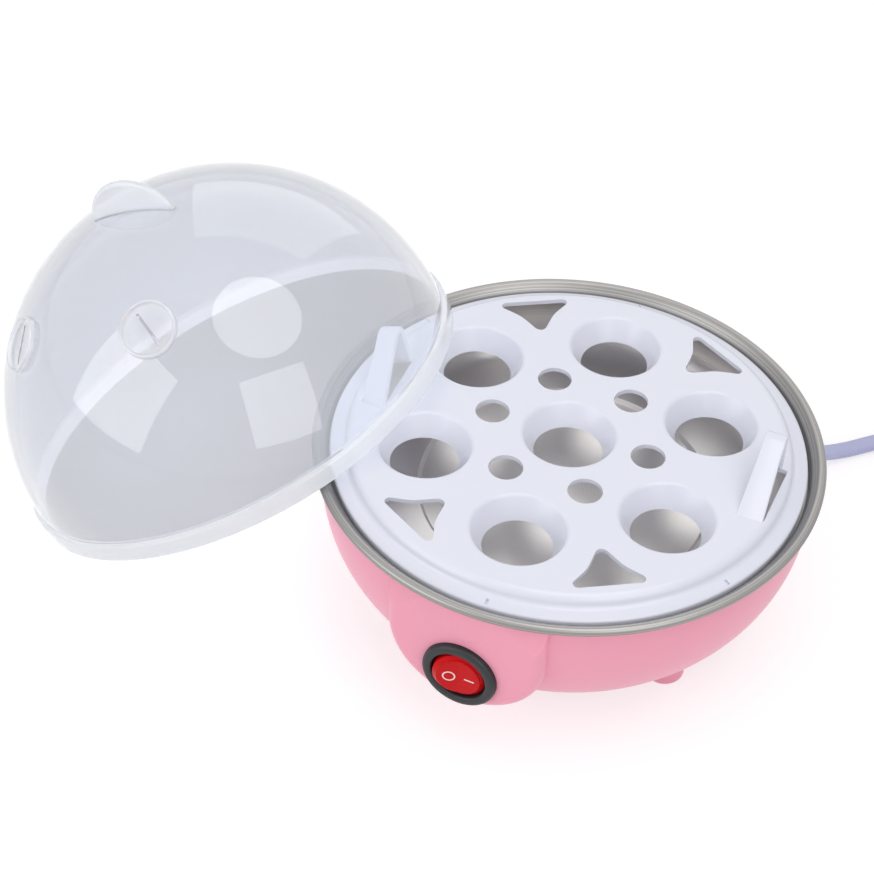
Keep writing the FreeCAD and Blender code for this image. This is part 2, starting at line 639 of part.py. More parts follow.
def make_tray():
    """White tray: stepped plate with seven egg cups, small holes, steam vents and two straps."""
    wall = size("tray_wall")
    top = size("tray_top")
    flat = size("tray_flat")
    shoulder = size("tray_shoulder")
    ledge = size("tray_ledge")
    foot_inner = size("tray_radius") - wall
    plate = turned_body("tray_plate", [
        (0, top - wall), (flat, top - wall, (shoulder - wall) * -1.0001),
        (flat + shoulder - wall, top - shoulder),
        (flat + shoulder - wall, ledge - wall), (foot_inner, ledge - wall),
        (foot_inner, size("tray_foot")), (size("tray_radius"), size("tray_foot")),
        (size("tray_radius"), ledge), (flat + shoulder, ledge),
        (flat + shoulder, top - shoulder, shoulder * 1.0001), (flat, top), (0, top)])
    added = [plate]
    removed = []
    seats = [Vector()] + [polar(mm("egg_circle"), SEAT_AZIMUTH + 60 * step) for step in range(6)]
    for index, spot in enumerate(seats):
        add_cup(index, spot, added, removed)
    for step in range(6):
        spot = polar(mm("small_circle"), SEAT_AZIMUTH + 30 + 60 * step, mm("tray_top") - 5)
        removed.append(primitive("Cylinder", "small_hole_%d" % step, Placement(spot, Rotation()),
                                 Radius=size("small_hole"), Height=10))
    for step in VENT_STEPS:
        removed.append(vent_cutter(step))
    straps = []
    for step, sense, outward in STRAP_STEPS:
        strap, slot = strap_handle(step, sense, outward)
        straps.append(strap)
        removed.append(slot)
    plain = cut("tray_holed", fuse("tray_plain", added), fuse("tray_openings", removed))
    sub_part("egg_tray", fuse("egg_tray", [plain] + straps))


def add_cup(index, spot, added, removed):
    """Funnel-shaped egg cup: its wall is added and its open inside taken out."""
    depth = size("egg_depth")
    wall = size("tray_wall")
    low = spot + Vector(0, 0, mm("tray_top") - mm("egg_depth"))
    place = Placement(low, Rotation())
    added.append(primitive("Cone", "cup_%d" % index, place, Radius1=size("egg_hole") + wall,
                           Radius2=size("egg_cup") + wall, Height=depth))
    removed.append(primitive("Cone", "cup_room_%d" % index, place, Radius1=size("egg_hole"),
                             Radius2=size("egg_cup"), Height=depth))


def vent_cutter(step):
    """Rounded triangle that points at the tray's centre."""
    azimuth = SEAT_AZIMUTH + step
    inner = mm("vent_inner")
    outer = mm("vent_outer")
    half = mm("vent_half")
    low = mm("tray_top") - 5
    corners = [Vector(inner, 0, low), Vector(outer, half, low), Vector(outer, -half, low)]
    face = Part.Face(rounded_loop(corners, mm("vent_round")))
    cutter = solid("vent_%d" % step, face.extrude(Vector(0, 0, 10)))
    cutter.Placement = turned(azimuth)
    return cutter


def rounded_loop(corners, radius):
    """Closed wire of straight sides with each corner rounded to a radius."""
    edges = []
    count = len(corners)
    ends = []
    for index, corner in enumerate(corners):
        back = (corners[index - 1] - corner).normalize()
        ahead = (corners[(index + 1) % count] - corner).normalize()
        half = back.getAngle(ahead) / 2
        reach = radius / math.tan(half)
        middle = corner + (back + ahead).normalize() * (radius / math.sin(half) - radius)
        ends.append((corner + back * reach, middle, corner + ahead * reach))
    for index, (first, middle, last) in enumerate(ends):
        edges.append(Part.Arc(first, middle, last).toShape())
        edges.append(Part.LineSegment(last, ends[(index + 1) % count][0]).toShape())
    return Part.Wire(edges)


def strap_handle(step, sense, outward):
    """Strap that ramps up over a finger slot to a leg on the side that the sense names, and leans outward."""
    azimuth = SEAT_AZIMUTH + step
    thick = size("strap_thick")
    foot = size("strap_foot") * -sense
    knee = size("strap_knee") * sense
    back = size("strap_back") * sense
    lean = size("strap_lean") * sense
    base = size("tray_top") - 0.8
    top = size("tray_top") + size("strap_high")
    strap = padded_body("strap_%d" % step, "YZ_Plane", [
        (foot, base), (knee, top), (back, top), (back, base), (back - thick * sense, base),
        (back - thick * sense, top - thick), (knee + thick * sense * 0.3, top - thick), (foot + lean, base)],
        size("strap_wide"), middle=True)
    inner_edge = Vector(-mm("strap_wide") / 2, 0, mm("tray_top"))
    leaning = Placement(Vector(), Rotation(Vector(0, 1, 0), outward), inner_edge)
    strap.Placement = turned(azimuth, polar(mm("strap_reach"), azimuth)).multiply(leaning)
    reach = mm("strap_reach") - mm("slot_wide") / 2
    start = mm("slot_ramp") if sense > 0 else mm("slot_leg")
    slot_low = polar(reach, azimuth, mm("tray_top") - 5) + polar(start, azimuth - 90)
    slot = primitive("Box", "slot_%d" % step, turned(azimuth, slot_low), Length=size("slot_wide"),
                     Width=size("slot_ramp") + size("slot_leg"), Height=10)
    return strap, slot


def make_lid():
    """Translucent dome with its rim band, fin and vent ports, leaning beside the base."""
    wall = size("lid_wall")
    band = size("band_high")
    dome = size("dome_radius")
    radius = size("lid_radius")
    shell = turned_body("lid_shell", [
        (radius - wall, 0), (radius, 0), (radius, band), (dome, band, dome), (0, band + dome),
        (0, band + dome - wall, (dome - wall) * -1), (dome - wall, band), (radius - wall, band)])
    room = primitive("Sphere", "lid_room", Placement(Vector(0, 0, band.value), Rotation()),
                     Radius=dome - wall)
    added = [shell]
    removed = [room]
    for index, turn in enumerate(PORT_TURNS):
        add_port(index, turn, added, removed)
    added.append(lid_fin())
    lid = cut("lid", fuse("lid_whole", added), fuse("lid_openings", removed))
    lean = Rotation(Vector(0, 0, 1), LID_AZIMUTH).multiply(Rotation(Vector(0, 1, 0), LID_TILT))
    lid.Placement = Placement(LID_CENTRE, lean)
    sub_part("lid", lid)


def add_port(index, turn, added, removed):
    """Round vent port: a low rim on the dome with a slit through the wall."""
    tilt = Rotation(Vector(0, 0, 1), turn).multiply(Rotation(Vector(0, 1, 0), mm("port_tilt")))
    # The lid leans along its own X, and a turn of zero faces back over the base
    spin = Rotation(Vector(0, 0, 1), 180).multiply(tilt)
    centre = Vector(0, 0, mm("band_high"))
    way = spin.multVec(Vector(0, 0, 1))
    root = mm("dome_radius") - mm("lid_wall") - 0.2
    place = Placement(centre + way * root, spin)
    high = size("lid_wall") + size("port_proud") + 0.2
    added.append(primitive("Cylinder", "port_%d" % index, place, Radius=size("port_radius"), Height=high))
    well = Placement(centre + way * (mm("dome_radius") + 0.4), spin)
    removed.append(primitive("Cylinder", "port_well_%d" % index, well,
                             Radius=size("port_radius") - size("port_rim"), Height=high))
    askew = spin.multiply(Rotation(Vector(0, 0, 1), SLIT_TURN))
    slit_corner = askew.multVec(Vector(-mm("slit_long") / 2, -mm("slit_wide") / 2, 0))
    slit = Placement(centre + way * (root - 4) + slit_corner, askew)
    removed.append(primitive("Box", "port_slit_%d" % index, slit, Length=size("slit_long"),
                             Width=size("slit_wide"), Height=high + 6))


def lid_fin():
    """Half-round fin on the crown, in line with the lean."""
    half = size("fin_half")
    crown = size("band_high") + size("dome_radius")
    base = crown - 3
    blank = padded_body("fin_blank", "XZ_Plane", [
        (half * -1, base), (half, base), (half, crown - 1, size("fin_curve")), (half * -1, crown - 1)],
        size("fin_thick"), middle=True)
    sideways = Vector(-math.sin(math.radians(FIN_SIDE)), math.cos(math.radians(FIN_SIDE)), 0)
    blank.Placement = Placement(Vector(), Rotation(sideways, FIN_TILT), Vector(0, 0, mm("band_high")))
    return blank


def coil_point(turns):
    """Coil centreline: a spiral that winds in, climbs a layer where it reverses, and winds out."""
    turnback = COIL_LOWER + COIL_CLIMB / 2
    reach = mm("coil_outer") - mm("coil_pitch") * turnback + mm("coil_pitch") * abs(turns - turnback)
    share = min(max((turns - COIL_LOWER) / COIL_CLIMB, 0.0), 1.0)
    height = mm("coil_floor") + mm("coil_layer") * share * share * (3 - 2 * share)
    angle = coil_start_angle() - 360 * turns
    return coil_centre() + polar(reach, angle, height)


def cord_points():
    """Corners of the cord's free run, from the strain relief to the coil."""
    tip = mm("relief_reach")
    high = mm("cord_exit")
    floor = mm("cord_radius") + 0.1
    landing = CORD_LANDING + Vector(0, 0, floor)
    bend = landing + polar(22, CORD_HEADING, mm("coil_floor") - floor)
    entry = bend + polar(22, COIL_HEADING)
    return [polar(tip, CORD_AZIMUTH, high), polar(tip + 16, CORD_AZIMUTH, high), landing, bend, entry]


def coil_start_angle():
    return COIL_HEADING + 90


def coil_centre():
    entry = cord_points()[-1]
    start = entry + polar(mm("cord_radius") * 2, COIL_HEADING)
    centre = start - polar(mm("coil_outer"), coil_start_angle())
    return Vector(centre.x, centre.y, 0)


def arc_from(start, way, end):
    """Arc from start, leaving along way, to end."""
    chord = end - start
    line = Vector(chord).normalize()
    lean = way.getAngle(line)
    if lean < 1e-6:
        return Part.LineSegment(start, end).toShape()
    bulge = (way - line * way.dot(line)).normalize()
    middle = (start + end) * 0.5 + bulge * (chord.Length / 2 * math.tan(lean / 2))
    return Part.Arc(start, middle, end).toShape()


def biarc(start, way, end, end_way):
    """Two arcs that join two points with given ways along."""
    chord = end - start
    total = way + end_way
    slack = 2 * (1 - way.dot(end_way))
    reach = (-chord.dot(total) + math.sqrt(chord.dot(total) ** 2 + slack * chord.dot(chord))) / slack
    joint = (start + end + (way - end_way) * reach) * 0.5
    second = arc_from(end, end_way * -1, joint)
    return [arc_from(start, way, joint), second]


def coil_way(turns):
    step = 0.01
    return (coil_point(min(turns + step, COIL_TOTAL)) - coil_point(max(turns - step, 0.0))).normalize()


def make_coil():
    """Put-away coil: quarter turns as biarcs, with a straight end of one diameter at each side."""
    lead = mm("cord_radius") * 2
    quarters = int(round(COIL_TOTAL * 4))
    spots = [coil_point(quarter / 4) for quarter in range(quarters + 1)]
    ways = [coil_way(quarter / 4) for quarter in range(quarters + 1)]
    ways[0] = polar(1, COIL_HEADING)
    ways[-1].z = 0
    ways[-1].normalize()
    edges = [Part.LineSegment(spots[0] - ways[0] * lead, spots[0]).toShape()]
    for index in range(quarters):
        edges.extend(biarc(spots[index], ways[index], spots[index + 1], ways[index + 1]))
    end = spots[-1] + ways[-1] * lead
    edges.append(Part.LineSegment(spots[-1], end).toShape())
    path = Part.Wire(Part.__sortEdges__(edges))
    print("coil least gap %.2f" % self_gap(path))
    sub_part("cord_coil", tube("cord_coil", path, mm("cord_radius")))
    return end, ways[-1]


def self_gap(path):
    """Least clear gap between parts of a tube that are over four diameters apart along it."""
    diameter = mm("cord_radius") * 2
    spots = path.discretize(Distance=2.0)
    skip = int(4 * diameter / 2.0)
    least = min((first - second).Length for index, first in enumerate(spots)
                for second in spots[index + skip:])
    return least - diameter


def make_cord():
    """Strain relief, free run, coil with its tie, tail and two-pin plug."""
    inner = mm("relief_inner")
    body_long = size("relief_reach") - size("cord_boss_reach") - size("relief_collar_long")
    core = primitive("Cylinder", "relief_core", along(CORD_AZIMUTH, inner, mm("cord_exit")),
                     Radius=size("relief_root") - 0.1, Height=size("cord_boss_reach") - size("relief_inner"))
    collar_at = along(CORD_AZIMUTH, mm("cord_boss_reach"), mm("cord_exit"))
    collar = primitive("Cylinder", "relief_collar", collar_at,
                       Radius=size("relief_collar"), Height=size("relief_collar_long"))
    taper_at = mm("cord_boss_reach") + mm("relief_collar_long")
    taper = primitive("Cone", "relief_taper", along(CORD_AZIMUTH, taper_at, mm("cord_exit")),
                      Radius1=size("relief_root"), Radius2=size("relief_tip"), Height=body_long)
    sub_part("strain_relief", fuse("strain_relief", [core, collar, taper]))
    path, radii = route(cord_points())
    print("power_cord radii", [round(radius, 1) for radius in radii])
    sub_part("power_cord", tube("power_cord", path, mm("cord_radius")))
    end, way = make_coil()
    make_tie()
    make_plug(end, way)


def make_tie():
    """Flat band round the coil's bundle of turns."""
    turns = (0.5, 1.5, 2.5)
    spots = [coil_point(turn) for turn in turns]
    centre = coil_centre()
    reaches = [(spot - Vector(centre.x, centre.y, spot.z)).Length for spot in spots]
    azimuth = coil_start_angle() - 180
    grow = mm("cord_radius") + mm("tie_room")
    low = Vector(min(reaches) - grow, -mm("tie_wide") / 2, mm("coil_floor") - mm("cord_radius") - 0.15)
    high = Vector(max(reaches) + grow, mm("tie_wide") / 2,
                  mm("coil_floor") + mm("coil_layer") + mm("cord_radius") + 0.3)
    thick = mm("tie_thick")
    room = Part.makeBox(high.x - low.x, high.y - low.y, high.z - low.z, low)
    band_low = low - Vector(thick, 0, thick)
    band = Part.makeBox(high.x - low.x + 2 * thick, high.y - low.y, high.z - low.z + 2 * thick, band_low)
    tie = solid("cord_tie", band.cut(room))
    tie.Placement = turned(azimuth, centre)
    sub_part("cord_tie", tie)


def make_plug(end, way):
    """Short tail and a moulded plug with two round pins, lying beside the coil."""
    heading = math.degrees(math.atan2(way.y, way.x))
    tail_bend = end + polar(14, heading, 0)
    tail_end = tail_bend + polar(14, heading - 6, 0)
    path = route([end, tail_bend, tail_end])[0]
    sub_part("cord_tail", tube("cord_tail", path, mm("cord_radius")))
    facing = heading - 6
    half_neck = size("plug_neck") * 0.5
    half_wide = size("plug_wide") * 0.5
    long = size("plug_long")
    body = padded_body("plug_body", "XY_Plane", [
        (0, half_neck * -1), (long * 0.55, half_wide * -1), (long, half_wide * -1), (long, half_wide),
        (long * 0.55, half_wide), (0, half_neck)], size("plug_thick"), middle=True)
    body.Placement = turned(facing, tail_end)
    doc.recompute()
    rounding = doc.addObject("Part::Fillet", "plug_body_round")
    rounding.Base = body
    radius = mm("plug_round")
    rounding.Edges = [(number, radius, radius) for number, edge in enumerate(body.Shape.Edges, start=1)
                      if abs(edge.tangentAt(edge.FirstParameter).z) > 0.9]
    sub_part("plug_body", rounding)
    pins = []
    for index, side in enumerate((-0.5, 0.5)):
        root = tail_end + polar(mm("plug_long"), facing) + polar(mm("plug_pin_pitch") * side, facing + 90)
        pins.append(primitive("Cylinder", "plug_pin_%d" % index, Placement(
            root, Rotation(Vector(0, 0, 1), polar(1, facing))), Radius=size("plug_pin_radius"),
            Height=size("plug_pin_long")))
        print("plug pin root", [round(number, 3) for number in root], "facing", round(facing, 4))
    group = doc.addObject("Part::Compound", "plug_pins")
    group.Links = pins
    sub_part("plug_pins", group)


def write_parts():
    """Stop on any failed object, then write each sub-part."""
    doc.recompute()
    failed = [item.Name for item in doc.Objects if "Invalid" in item.State or "Error" in item.State]
    if failed:
        raise RuntimeError("failed objects: %s" % failed)
    for node, item in subparts.items():
        if item.Shape.isNull() or not item.Shape.isValid():
            raise RuntimeError("bad shape: %s" % node)
    os.makedirs("parts", exist_ok=True)
    for node, item in subparts.items():
        item.Shape.exportStep("parts/%s.step" % node)
        print(node, len(item.Shape.Solids), round(item.Shape.Volume, 1))


make_basin()
bowl_outside = make_shell()
make_feet(bowl_outside)
make_bottom_cover()
make_heater()
make_switch()
doc.recompute()
make_leads()
make_tray()
make_lid()
make_cord()
write_parts()
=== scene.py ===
import math
import bmesh
import bpy
import numpy as np
from mathutils import Euler, Matrix, Vector


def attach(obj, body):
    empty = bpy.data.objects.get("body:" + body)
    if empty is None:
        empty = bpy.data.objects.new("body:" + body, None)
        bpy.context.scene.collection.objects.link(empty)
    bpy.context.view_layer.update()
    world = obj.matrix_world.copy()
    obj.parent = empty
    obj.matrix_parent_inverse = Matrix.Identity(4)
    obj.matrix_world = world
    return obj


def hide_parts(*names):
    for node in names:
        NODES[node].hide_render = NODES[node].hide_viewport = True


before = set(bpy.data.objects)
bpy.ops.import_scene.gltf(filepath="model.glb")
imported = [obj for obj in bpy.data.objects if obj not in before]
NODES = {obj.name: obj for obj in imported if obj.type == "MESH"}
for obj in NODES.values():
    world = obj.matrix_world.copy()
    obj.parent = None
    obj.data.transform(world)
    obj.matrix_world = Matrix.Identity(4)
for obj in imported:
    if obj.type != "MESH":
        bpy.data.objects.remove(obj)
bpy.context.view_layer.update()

# Camera and studio. The photograph looks down on the base from the front at about 43 degrees with a long
# lens and a slight roll; the white room has soft light from above and both sides, and a little from behind.
LENS = 90.6
SENSOR = 36.0
ROLL = math.radians(2.54)
ELEVATION = math.radians(43.09)
CAMERA_SPOT = (-0.0404, -0.4924, 0.5212)
back = Vector((0.0, -math.cos(ELEVATION), math.sin(ELEVATION)))
level_up = Vector((0.0, math.sin(ELEVATION), math.cos(ELEVATION)))
level_right = Vector((1.0, 0.0, 0.0))
right = math.cos(ROLL) * level_right + math.sin(ROLL) * level_up
up = math.cos(ROLL) * level_up - math.sin(ROLL) * level_right
camera_data = bpy.data.cameras.new("camera")
camera_data.lens = LENS
camera_data.sensor_width = SENSOR
camera_data.clip_start = 0.01
camera = bpy.data.objects.new("camera", camera_data)
turn = Matrix((right, up, back)).transposed().to_4x4()
camera.matrix_world = Matrix.Translation(CAMERA_SPOT) @ turn
bpy.context.scene.collection.objects.link(camera)
bpy.context.scene.camera = camera
bpy.context.scene.view_settings.view_transform = "Standard"


def linear(code):
    """sRGB hex to a linear colour: each channel c is c/12.92 when small, else ((c + 0.055)/1.055)^2.4."""
    parts = np.array([int(code[i:i + 2], 16) for i in (1, 3, 5)]) / 255.0
    return (*np.where(parts <= 0.04045, parts / 12.92, ((parts + 0.055) / 1.055) ** 2.4).tolist(), 1.0)


def add_node(tree, kind, sockets=None, **settings):
    """Add a shader node; settings are its properties, sockets maps an input to a value or a linked output."""
    made = tree.nodes.new(kind)
    for name, value in settings.items():
        setattr(made, name, value)
    for socket, value in (sockets or {}).items():
        if isinstance(value, bpy.types.NodeSocket):
            tree.links.new(value, made.inputs[socket])
        else:
            made.inputs[socket].default_value = value
    return made


def start_material(name, **values):
    """A material whose one shader has the given socket values; returns it with its tree and shader."""
    material = bpy.data.materials.new(name)
    material.use_nodes = True
    tree = material.node_tree
    shader = tree.nodes["Principled BSDF"]
    for socket, value in values.items():
        shader.inputs[socket.replace("_", " ")].default_value = value
    return material, tree, shader


def seen_level(tree, aside, shown, through, let_in):
    """Level by kind of ray: shown to the camera and in gloss, aside where it lights other things.

    Past the lid it is through for sight and let_in for light.
    """
    rays = add_node(tree, "ShaderNodeLightPath")
    past_lid = add_node(tree, "ShaderNodeMapRange", {
        "Value": rays.outputs["Diffuse Depth"], "To Min": through, "To Max": let_in})
    straight = add_node(tree, "ShaderNodeMath", {
        0: rays.outputs["Is Camera Ray"], 1: rays.outputs["Is Glossy Ray"]}, operation="MAXIMUM")
    open_air = add_node(tree, "ShaderNodeMapRange", {
        "Value": straight.outputs[0], "To Min": aside, "To Max": shown})
    either = add_node(tree, "ShaderNodeMapRange", {
        "Value": rays.outputs["Is Transmission Ray"], "To Min": open_air.outputs[0],
        "To Max": past_lid.outputs[0]})
    return either.outputs[0]


WHITE = (1.0, 1.0, 1.0, 1.0)
world = bpy.data.worlds.new("white_room")
bpy.context.scene.world = world
world.use_nodes = True
sky = world.node_tree.nodes["Background"]
sky.inputs["Color"].default_value = WHITE
room_level = seen_level(world.node_tree, aside=0.46, shown=1.0, through=0.56, let_in=0.8)
world.node_tree.links.new(room_level, sky.inputs["Strength"])

# The floor glows only where it is seen, so it looks white and still keeps the object's shadow
FLOOR_HALF = 4.0
floor_mesh = bpy.data.meshes.new("floor")
floor_mesh.from_pydata([(FLOOR_HALF * x, FLOOR_HALF * y, 0) for x, y in ((-1, -1), (1, -1), (1, 1), (-1, 1))],
                       [], [(0, 1, 2, 3)])
floor = bpy.data.objects.new("floor", floor_mesh)
bpy.context.scene.collection.objects.link(floor)
paper, tree, shader = start_material("white_paper_sheet", Roughness=0.9, Specular_IOR_Level=0.0,
                                     Emission_Color=WHITE)
glow = seen_level(tree, aside=0.0, shown=0.62, through=0.0, let_in=0.0)
tree.links.new(glow, shader.inputs["Emission Strength"])
paper_tone = seen_level(tree, aside=0.9, shown=0.5, through=0.4, let_in=0.9)
tree.links.new(paper_tone, shader.inputs["Base Color"])
floor_mesh.materials.append(paper)

LAMP_AIM = Vector((-0.05, 0, 0.06))
LAMP_DISTANCE = 1.2


def soft_box(name, azimuth, elevation, size, level, shape="SQUARE"):
    """Area lamp in a direction in degrees; its power is pi times its area times its face's level of light."""
    data = bpy.data.lights.new(name, "AREA")
    data.shape = shape
    data.size = size
    data.energy = level * math.pi * size ** 2 * (math.pi / 4 if shape == "DISK" else 1.0)
    lamp = bpy.data.objects.new(name, data)
    out = Vector((1, 0, 0))
    out.rotate(Euler((0, -math.radians(elevation), math.radians(azimuth))))
    lamp.location = LAMP_AIM + LAMP_DISTANCE * out
    lamp.rotation_euler = out.to_track_quat("Z", "Y").to_euler()
    bpy.context.scene.collection.objects.link(lamp)


soft_box("left_box", azimuth=-150, elevation=24, size=0.9, level=1.6)
soft_box("right_box", azimuth=-59, elevation=32, size=0.75, level=1.6)
soft_box("top_lamp", azimuth=-41, elevation=76, size=0.9, level=1.8, shape="DISK")
soft_box("back_panel", azimuth=85, elevation=35, size=1.0, level=0.5)

# Shell, feet and cover. Polypropylene, injection moulded in soft pink, with the switch housing
# and the cord boss in the same moulding; the mould leaves a faint unevenness in the gloss.
MM = 0.001


def surface_grain(tree, shader, scale, detail, strength, depth):
    """Noise over a piece that lifts its surface by up to a depth in mm; returns the noise."""
    spot = add_node(tree, "ShaderNodeTexCoord")
    grain = add_node(tree, "ShaderNodeTexNoise", {
        "Vector": spot.outputs["Object"], "Scale": scale, "Detail": detail})
    swell = add_node(tree, "ShaderNodeBump", {
        "Height": grain.outputs["Fac"], "Strength": strength, "Distance": depth * MM})
    tree.links.new(swell.outputs[0], shader.inputs["Normal"])
    return grain


def dress(node, material):
    """Give a CAD node's object one material."""
    NODES[node].data.materials.clear()
    NODES[node].data.materials.append(material)


pink, tree, shader = start_material("moulded_pink_polypropylene", Base_Color=linear("#F7A3BA"),
                                    Roughness=0.36)
# Orange peel about 3 mm across
surface_grain(tree, shader, scale=350.0, detail=3.0, strength=0.05, depth=0.4)
for node in ("outer_shell", "feet", "bottom_cover"):
    dress(node, pink)

# Dish. Stainless sheet, drawn to a shallow pan with a hemmed rim and brushed while it spins,
# so the fine scratches run round its axis.
SHEET = 0.8
PAN_BASE = 40.0
PAN_STEP = 44.5
STEP_RISE = 1.2
BEND_SPOT = (60.5, 52.0)
BEND = 10.0
LEDGE = 57.0
DISH_WALL = 73.8
HEM = 1.4
HEM_OUT = 77.4
HEM_IN = 77.2
HEM_HEIGHT = 60.6
# Reach in mm where the pan's painted light gives way to the rim's painted reflection
PAINTED_RIM_REACH = (70.5, 72.5)


def arc(centre, radius, start, end, count=12):
    """Points on a circle from one angle to another, in degrees."""
    angle = np.radians(np.linspace(start, end, count))
    return np.stack([centre[0] + radius * np.cos(angle), centre[1] + radius * np.sin(angle)], axis=-1)


def grid(points, close_rows=False, close_columns=False):
    """Quads between neighbours of a rows by columns sheet of points; a closed direction joins its ends."""
    rows, columns = points.shape[:2]
    index = np.arange(rows * columns).reshape(rows, columns)
    if close_rows:
        index = np.vstack([index, index[:1]])
    if close_columns:
        index = np.hstack([index, index[:, :1]])
    quads = np.stack([index[:-1, :-1], index[1:, :-1], index[1:, 1:], index[:-1, 1:]], axis=-1)
    return points.reshape(-1, 3), quads.reshape(-1, 4)


def lathe(profile, count=240, centre=(0.0, 0.0)):
    """Profile of (radius, height) carried round Z; it faces right of its own way along in the half plane."""
    angle = np.linspace(0, 2 * np.pi, count, endpoint=False)[:, None]
    radius = profile[None, :, 0]
    across = centre[0] + radius * np.cos(angle)
    along = centre[1] + radius * np.sin(angle)
    height = np.broadcast_to(profile[None, :, 1], (count, len(profile)))
    return grid(np.stack([across, along, height], axis=-1), close_rows=True)


def placed(sheet, turn, centre):
    """A sheet turned by a 3 by 3 matrix and moved to a centre."""
    points, faces = sheet
    return points @ np.array(turn).T + np.array(centre), faces


def joined(name, sheets):
    """Object whose mesh is sheets of (points in mm, faces), welded where they meet."""
    starts = np.cumsum([0] + [len(points) for points, faces in sheets])
    corners = np.concatenate([points for points, faces in sheets]) * MM
    faces = sum([(quads + start).tolist() for (points, quads), start in zip(sheets, starts)], [])
    mesh = bpy.data.meshes.new(name)
    mesh.from_pydata(corners.tolist(), [], faces)
    weld = bmesh.new()
    weld.from_mesh(mesh)
    bmesh.ops.remove_doubles(weld, verts=weld.verts, dist=0.003 * MM)
    bmesh.ops.dissolve_degenerate(weld, edges=weld.edges, dist=0.0001 * MM)
    weld.to_mesh(mesh)
    weld.free()
    made = bpy.data.objects.new(name, mesh)
    bpy.context.scene.collection.objects.link(made)
    return made


def settle(made):
    """Put the result of an object's modifiers into its mesh."""
    shaped = made.evaluated_get(bpy.context.evaluated_depsgraph_get())
    made.data = bpy.data.meshes.new_from_object(shaped)
    made.modifiers.clear()


def fit(made, material, body, replaced=(), sharp=35.0):
    """Finish a piece: smooth but for edges past the sharp angle, its material, and the body it rides on."""
    made.data.shade_smooth()
    made.data.set_sharp_from_angle(angle=math.radians(sharp))
    made.data.materials.clear()
    made.data.materials.append(material)
    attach(made, body)
    if replaced:
        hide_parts(*replaced)


steel, tree, shader = start_material("brushed_stainless_steel", Metallic=1.0)
spot = add_node(tree, "ShaderNodeTexCoord")
part = add_node(tree, "ShaderNodeSeparateXYZ", {0: spot.outputs["Object"]})
plan = add_node(tree, "ShaderNodeCombineXYZ", {0: part.outputs["X"], 1: part.outputs["Y"]})
reach = add_node(tree, "ShaderNodeVectorMath", {0: plan.outputs[0]}, operation="LENGTH")
rings = add_node(tree, "ShaderNodeCombineXYZ", {0: reach.outputs["Value"], 2: part.outputs["Z"]})
# Scratches about 0.4 mm apart, coarser than real ones so that they show
scratch = add_node(tree, "ShaderNodeTexNoise", {"Vector": rings.outputs[0], "Scale": 2500.0, "Detail": 4.0})
gloss = add_node(tree, "ShaderNodeMapRange", {
    "Value": scratch.outputs["Fac"], "To Min": 0.28, "To Max": 0.52})
tree.links.new(gloss.outputs[0], shader.inputs["Roughness"])
score = add_node(tree, "ShaderNodeBump", {
    "Height": scratch.outputs["Fac"], "Strength": 0.12, "Distance": 0.2 * MM})
tree.links.new(score.outputs[0], shader.inputs["Normal"])
# The rim is painted a darker grey than the pan, a painted reflection of the dim room, and its narrower ramp
# makes its scratch lines show more
outer = add_node(tree, "ShaderNodeMapRange", {
    "Value": reach.outputs["Value"], "From Min": PAINTED_RIM_REACH[0] * MM, "From Max": PAINTED_RIM_REACH[1] * MM})
# The pan is painted lighter, a painted light that makes up for the shade the tray casts on it
pan = add_node(tree, "ShaderNodeValToRGB", {0: scratch.outputs["Fac"]})
pan.color_ramp.elements[0].color = linear("#E4E0DD")
pan.color_ramp.elements[1].color = linear("#F6F3F0")
rim = add_node(tree, "ShaderNodeValToRGB", {0: scratch.outputs["Fac"]})
rim.color_ramp.elements[0].position = 0.35
rim.color_ramp.elements[0].color = linear("#7C7A78")
rim.color_ramp.elements[1].position = 0.65
rim.color_ramp.elements[1].color = linear("#B6B4B2")
tone = add_node(tree, "ShaderNodeMix", {"Factor": outer.outputs[0]}, data_type="RGBA")
tree.links.new(pan.outputs[0], tone.inputs[6])
tree.links.new(rim.outputs[0], tone.inputs[7])
tree.links.new(tone.outputs[2], shader.inputs["Base Color"])
pan_face = PAN_BASE + SHEET
dish_profile = np.concatenate([
    [(0, PAN_BASE), (PAN_STEP, PAN_BASE), (PAN_STEP + STEP_RISE, PAN_BASE + STEP_RISE)],
    arc(BEND_SPOT, BEND + SHEET, -90, 0),
    [(72.6, LEDGE - SHEET), (DISH_WALL + SHEET, LEDGE - SHEET), (DISH_WALL + SHEET, 58.9)],
    arc((HEM_OUT, HEM_HEIGHT), HEM, -90, 90, 14), arc((HEM_IN, HEM_HEIGHT), HEM, 90, 140, 7),
    [(74.3, 59.3), (DISH_WALL, 58.3), (DISH_WALL, LEDGE), (71.8, LEDGE)],
    arc(BEND_SPOT, BEND, 0, -90),
    [(PAN_STEP + 1.5, pan_face + STEP_RISE), (PAN_STEP + 0.3, pan_face), (0, pan_face)]])
fit(joined("dish", [lathe(dish_profile)]), steel, "base", ["steel_basin"])

# Switch. A round panel rocker: a black nylon housing whose rounded bezel sits on the pink face,
# and a red rocker that shows its on side pressed, with a ring and a bar printed in white.
SWITCH_TURN = math.radians(246.1)
SWITCH_REACH = 75.5
SWITCH_HEIGHT = 31.2
BARREL = 9.9
BARREL_DEPTH = 12.0
BEZEL = 11.8
BEZEL_TOP = 2.2
BEZEL_ROUND = 1.4
WELL = 8.6
WELL_DEPTH = 8.0
LIP_ROUND = 1.0
outwards = np.array([math.cos(SWITCH_TURN), math.sin(SWITCH_TURN), 0.0])
sideways = np.array([-math.sin(SWITCH_TURN), math.cos(SWITCH_TURN), 0.0])
upwards = np.array([0.0, 0.0, 1.0])
switch_face = outwards * SWITCH_REACH + upwards * SWITCH_HEIGHT
facing_out = np.stack([sideways, upwards, outwards], axis=-1)
black, tree, shader = start_material("moulded_black_nylon", Base_Color=linear("#1D2226"), Roughness=0.45)
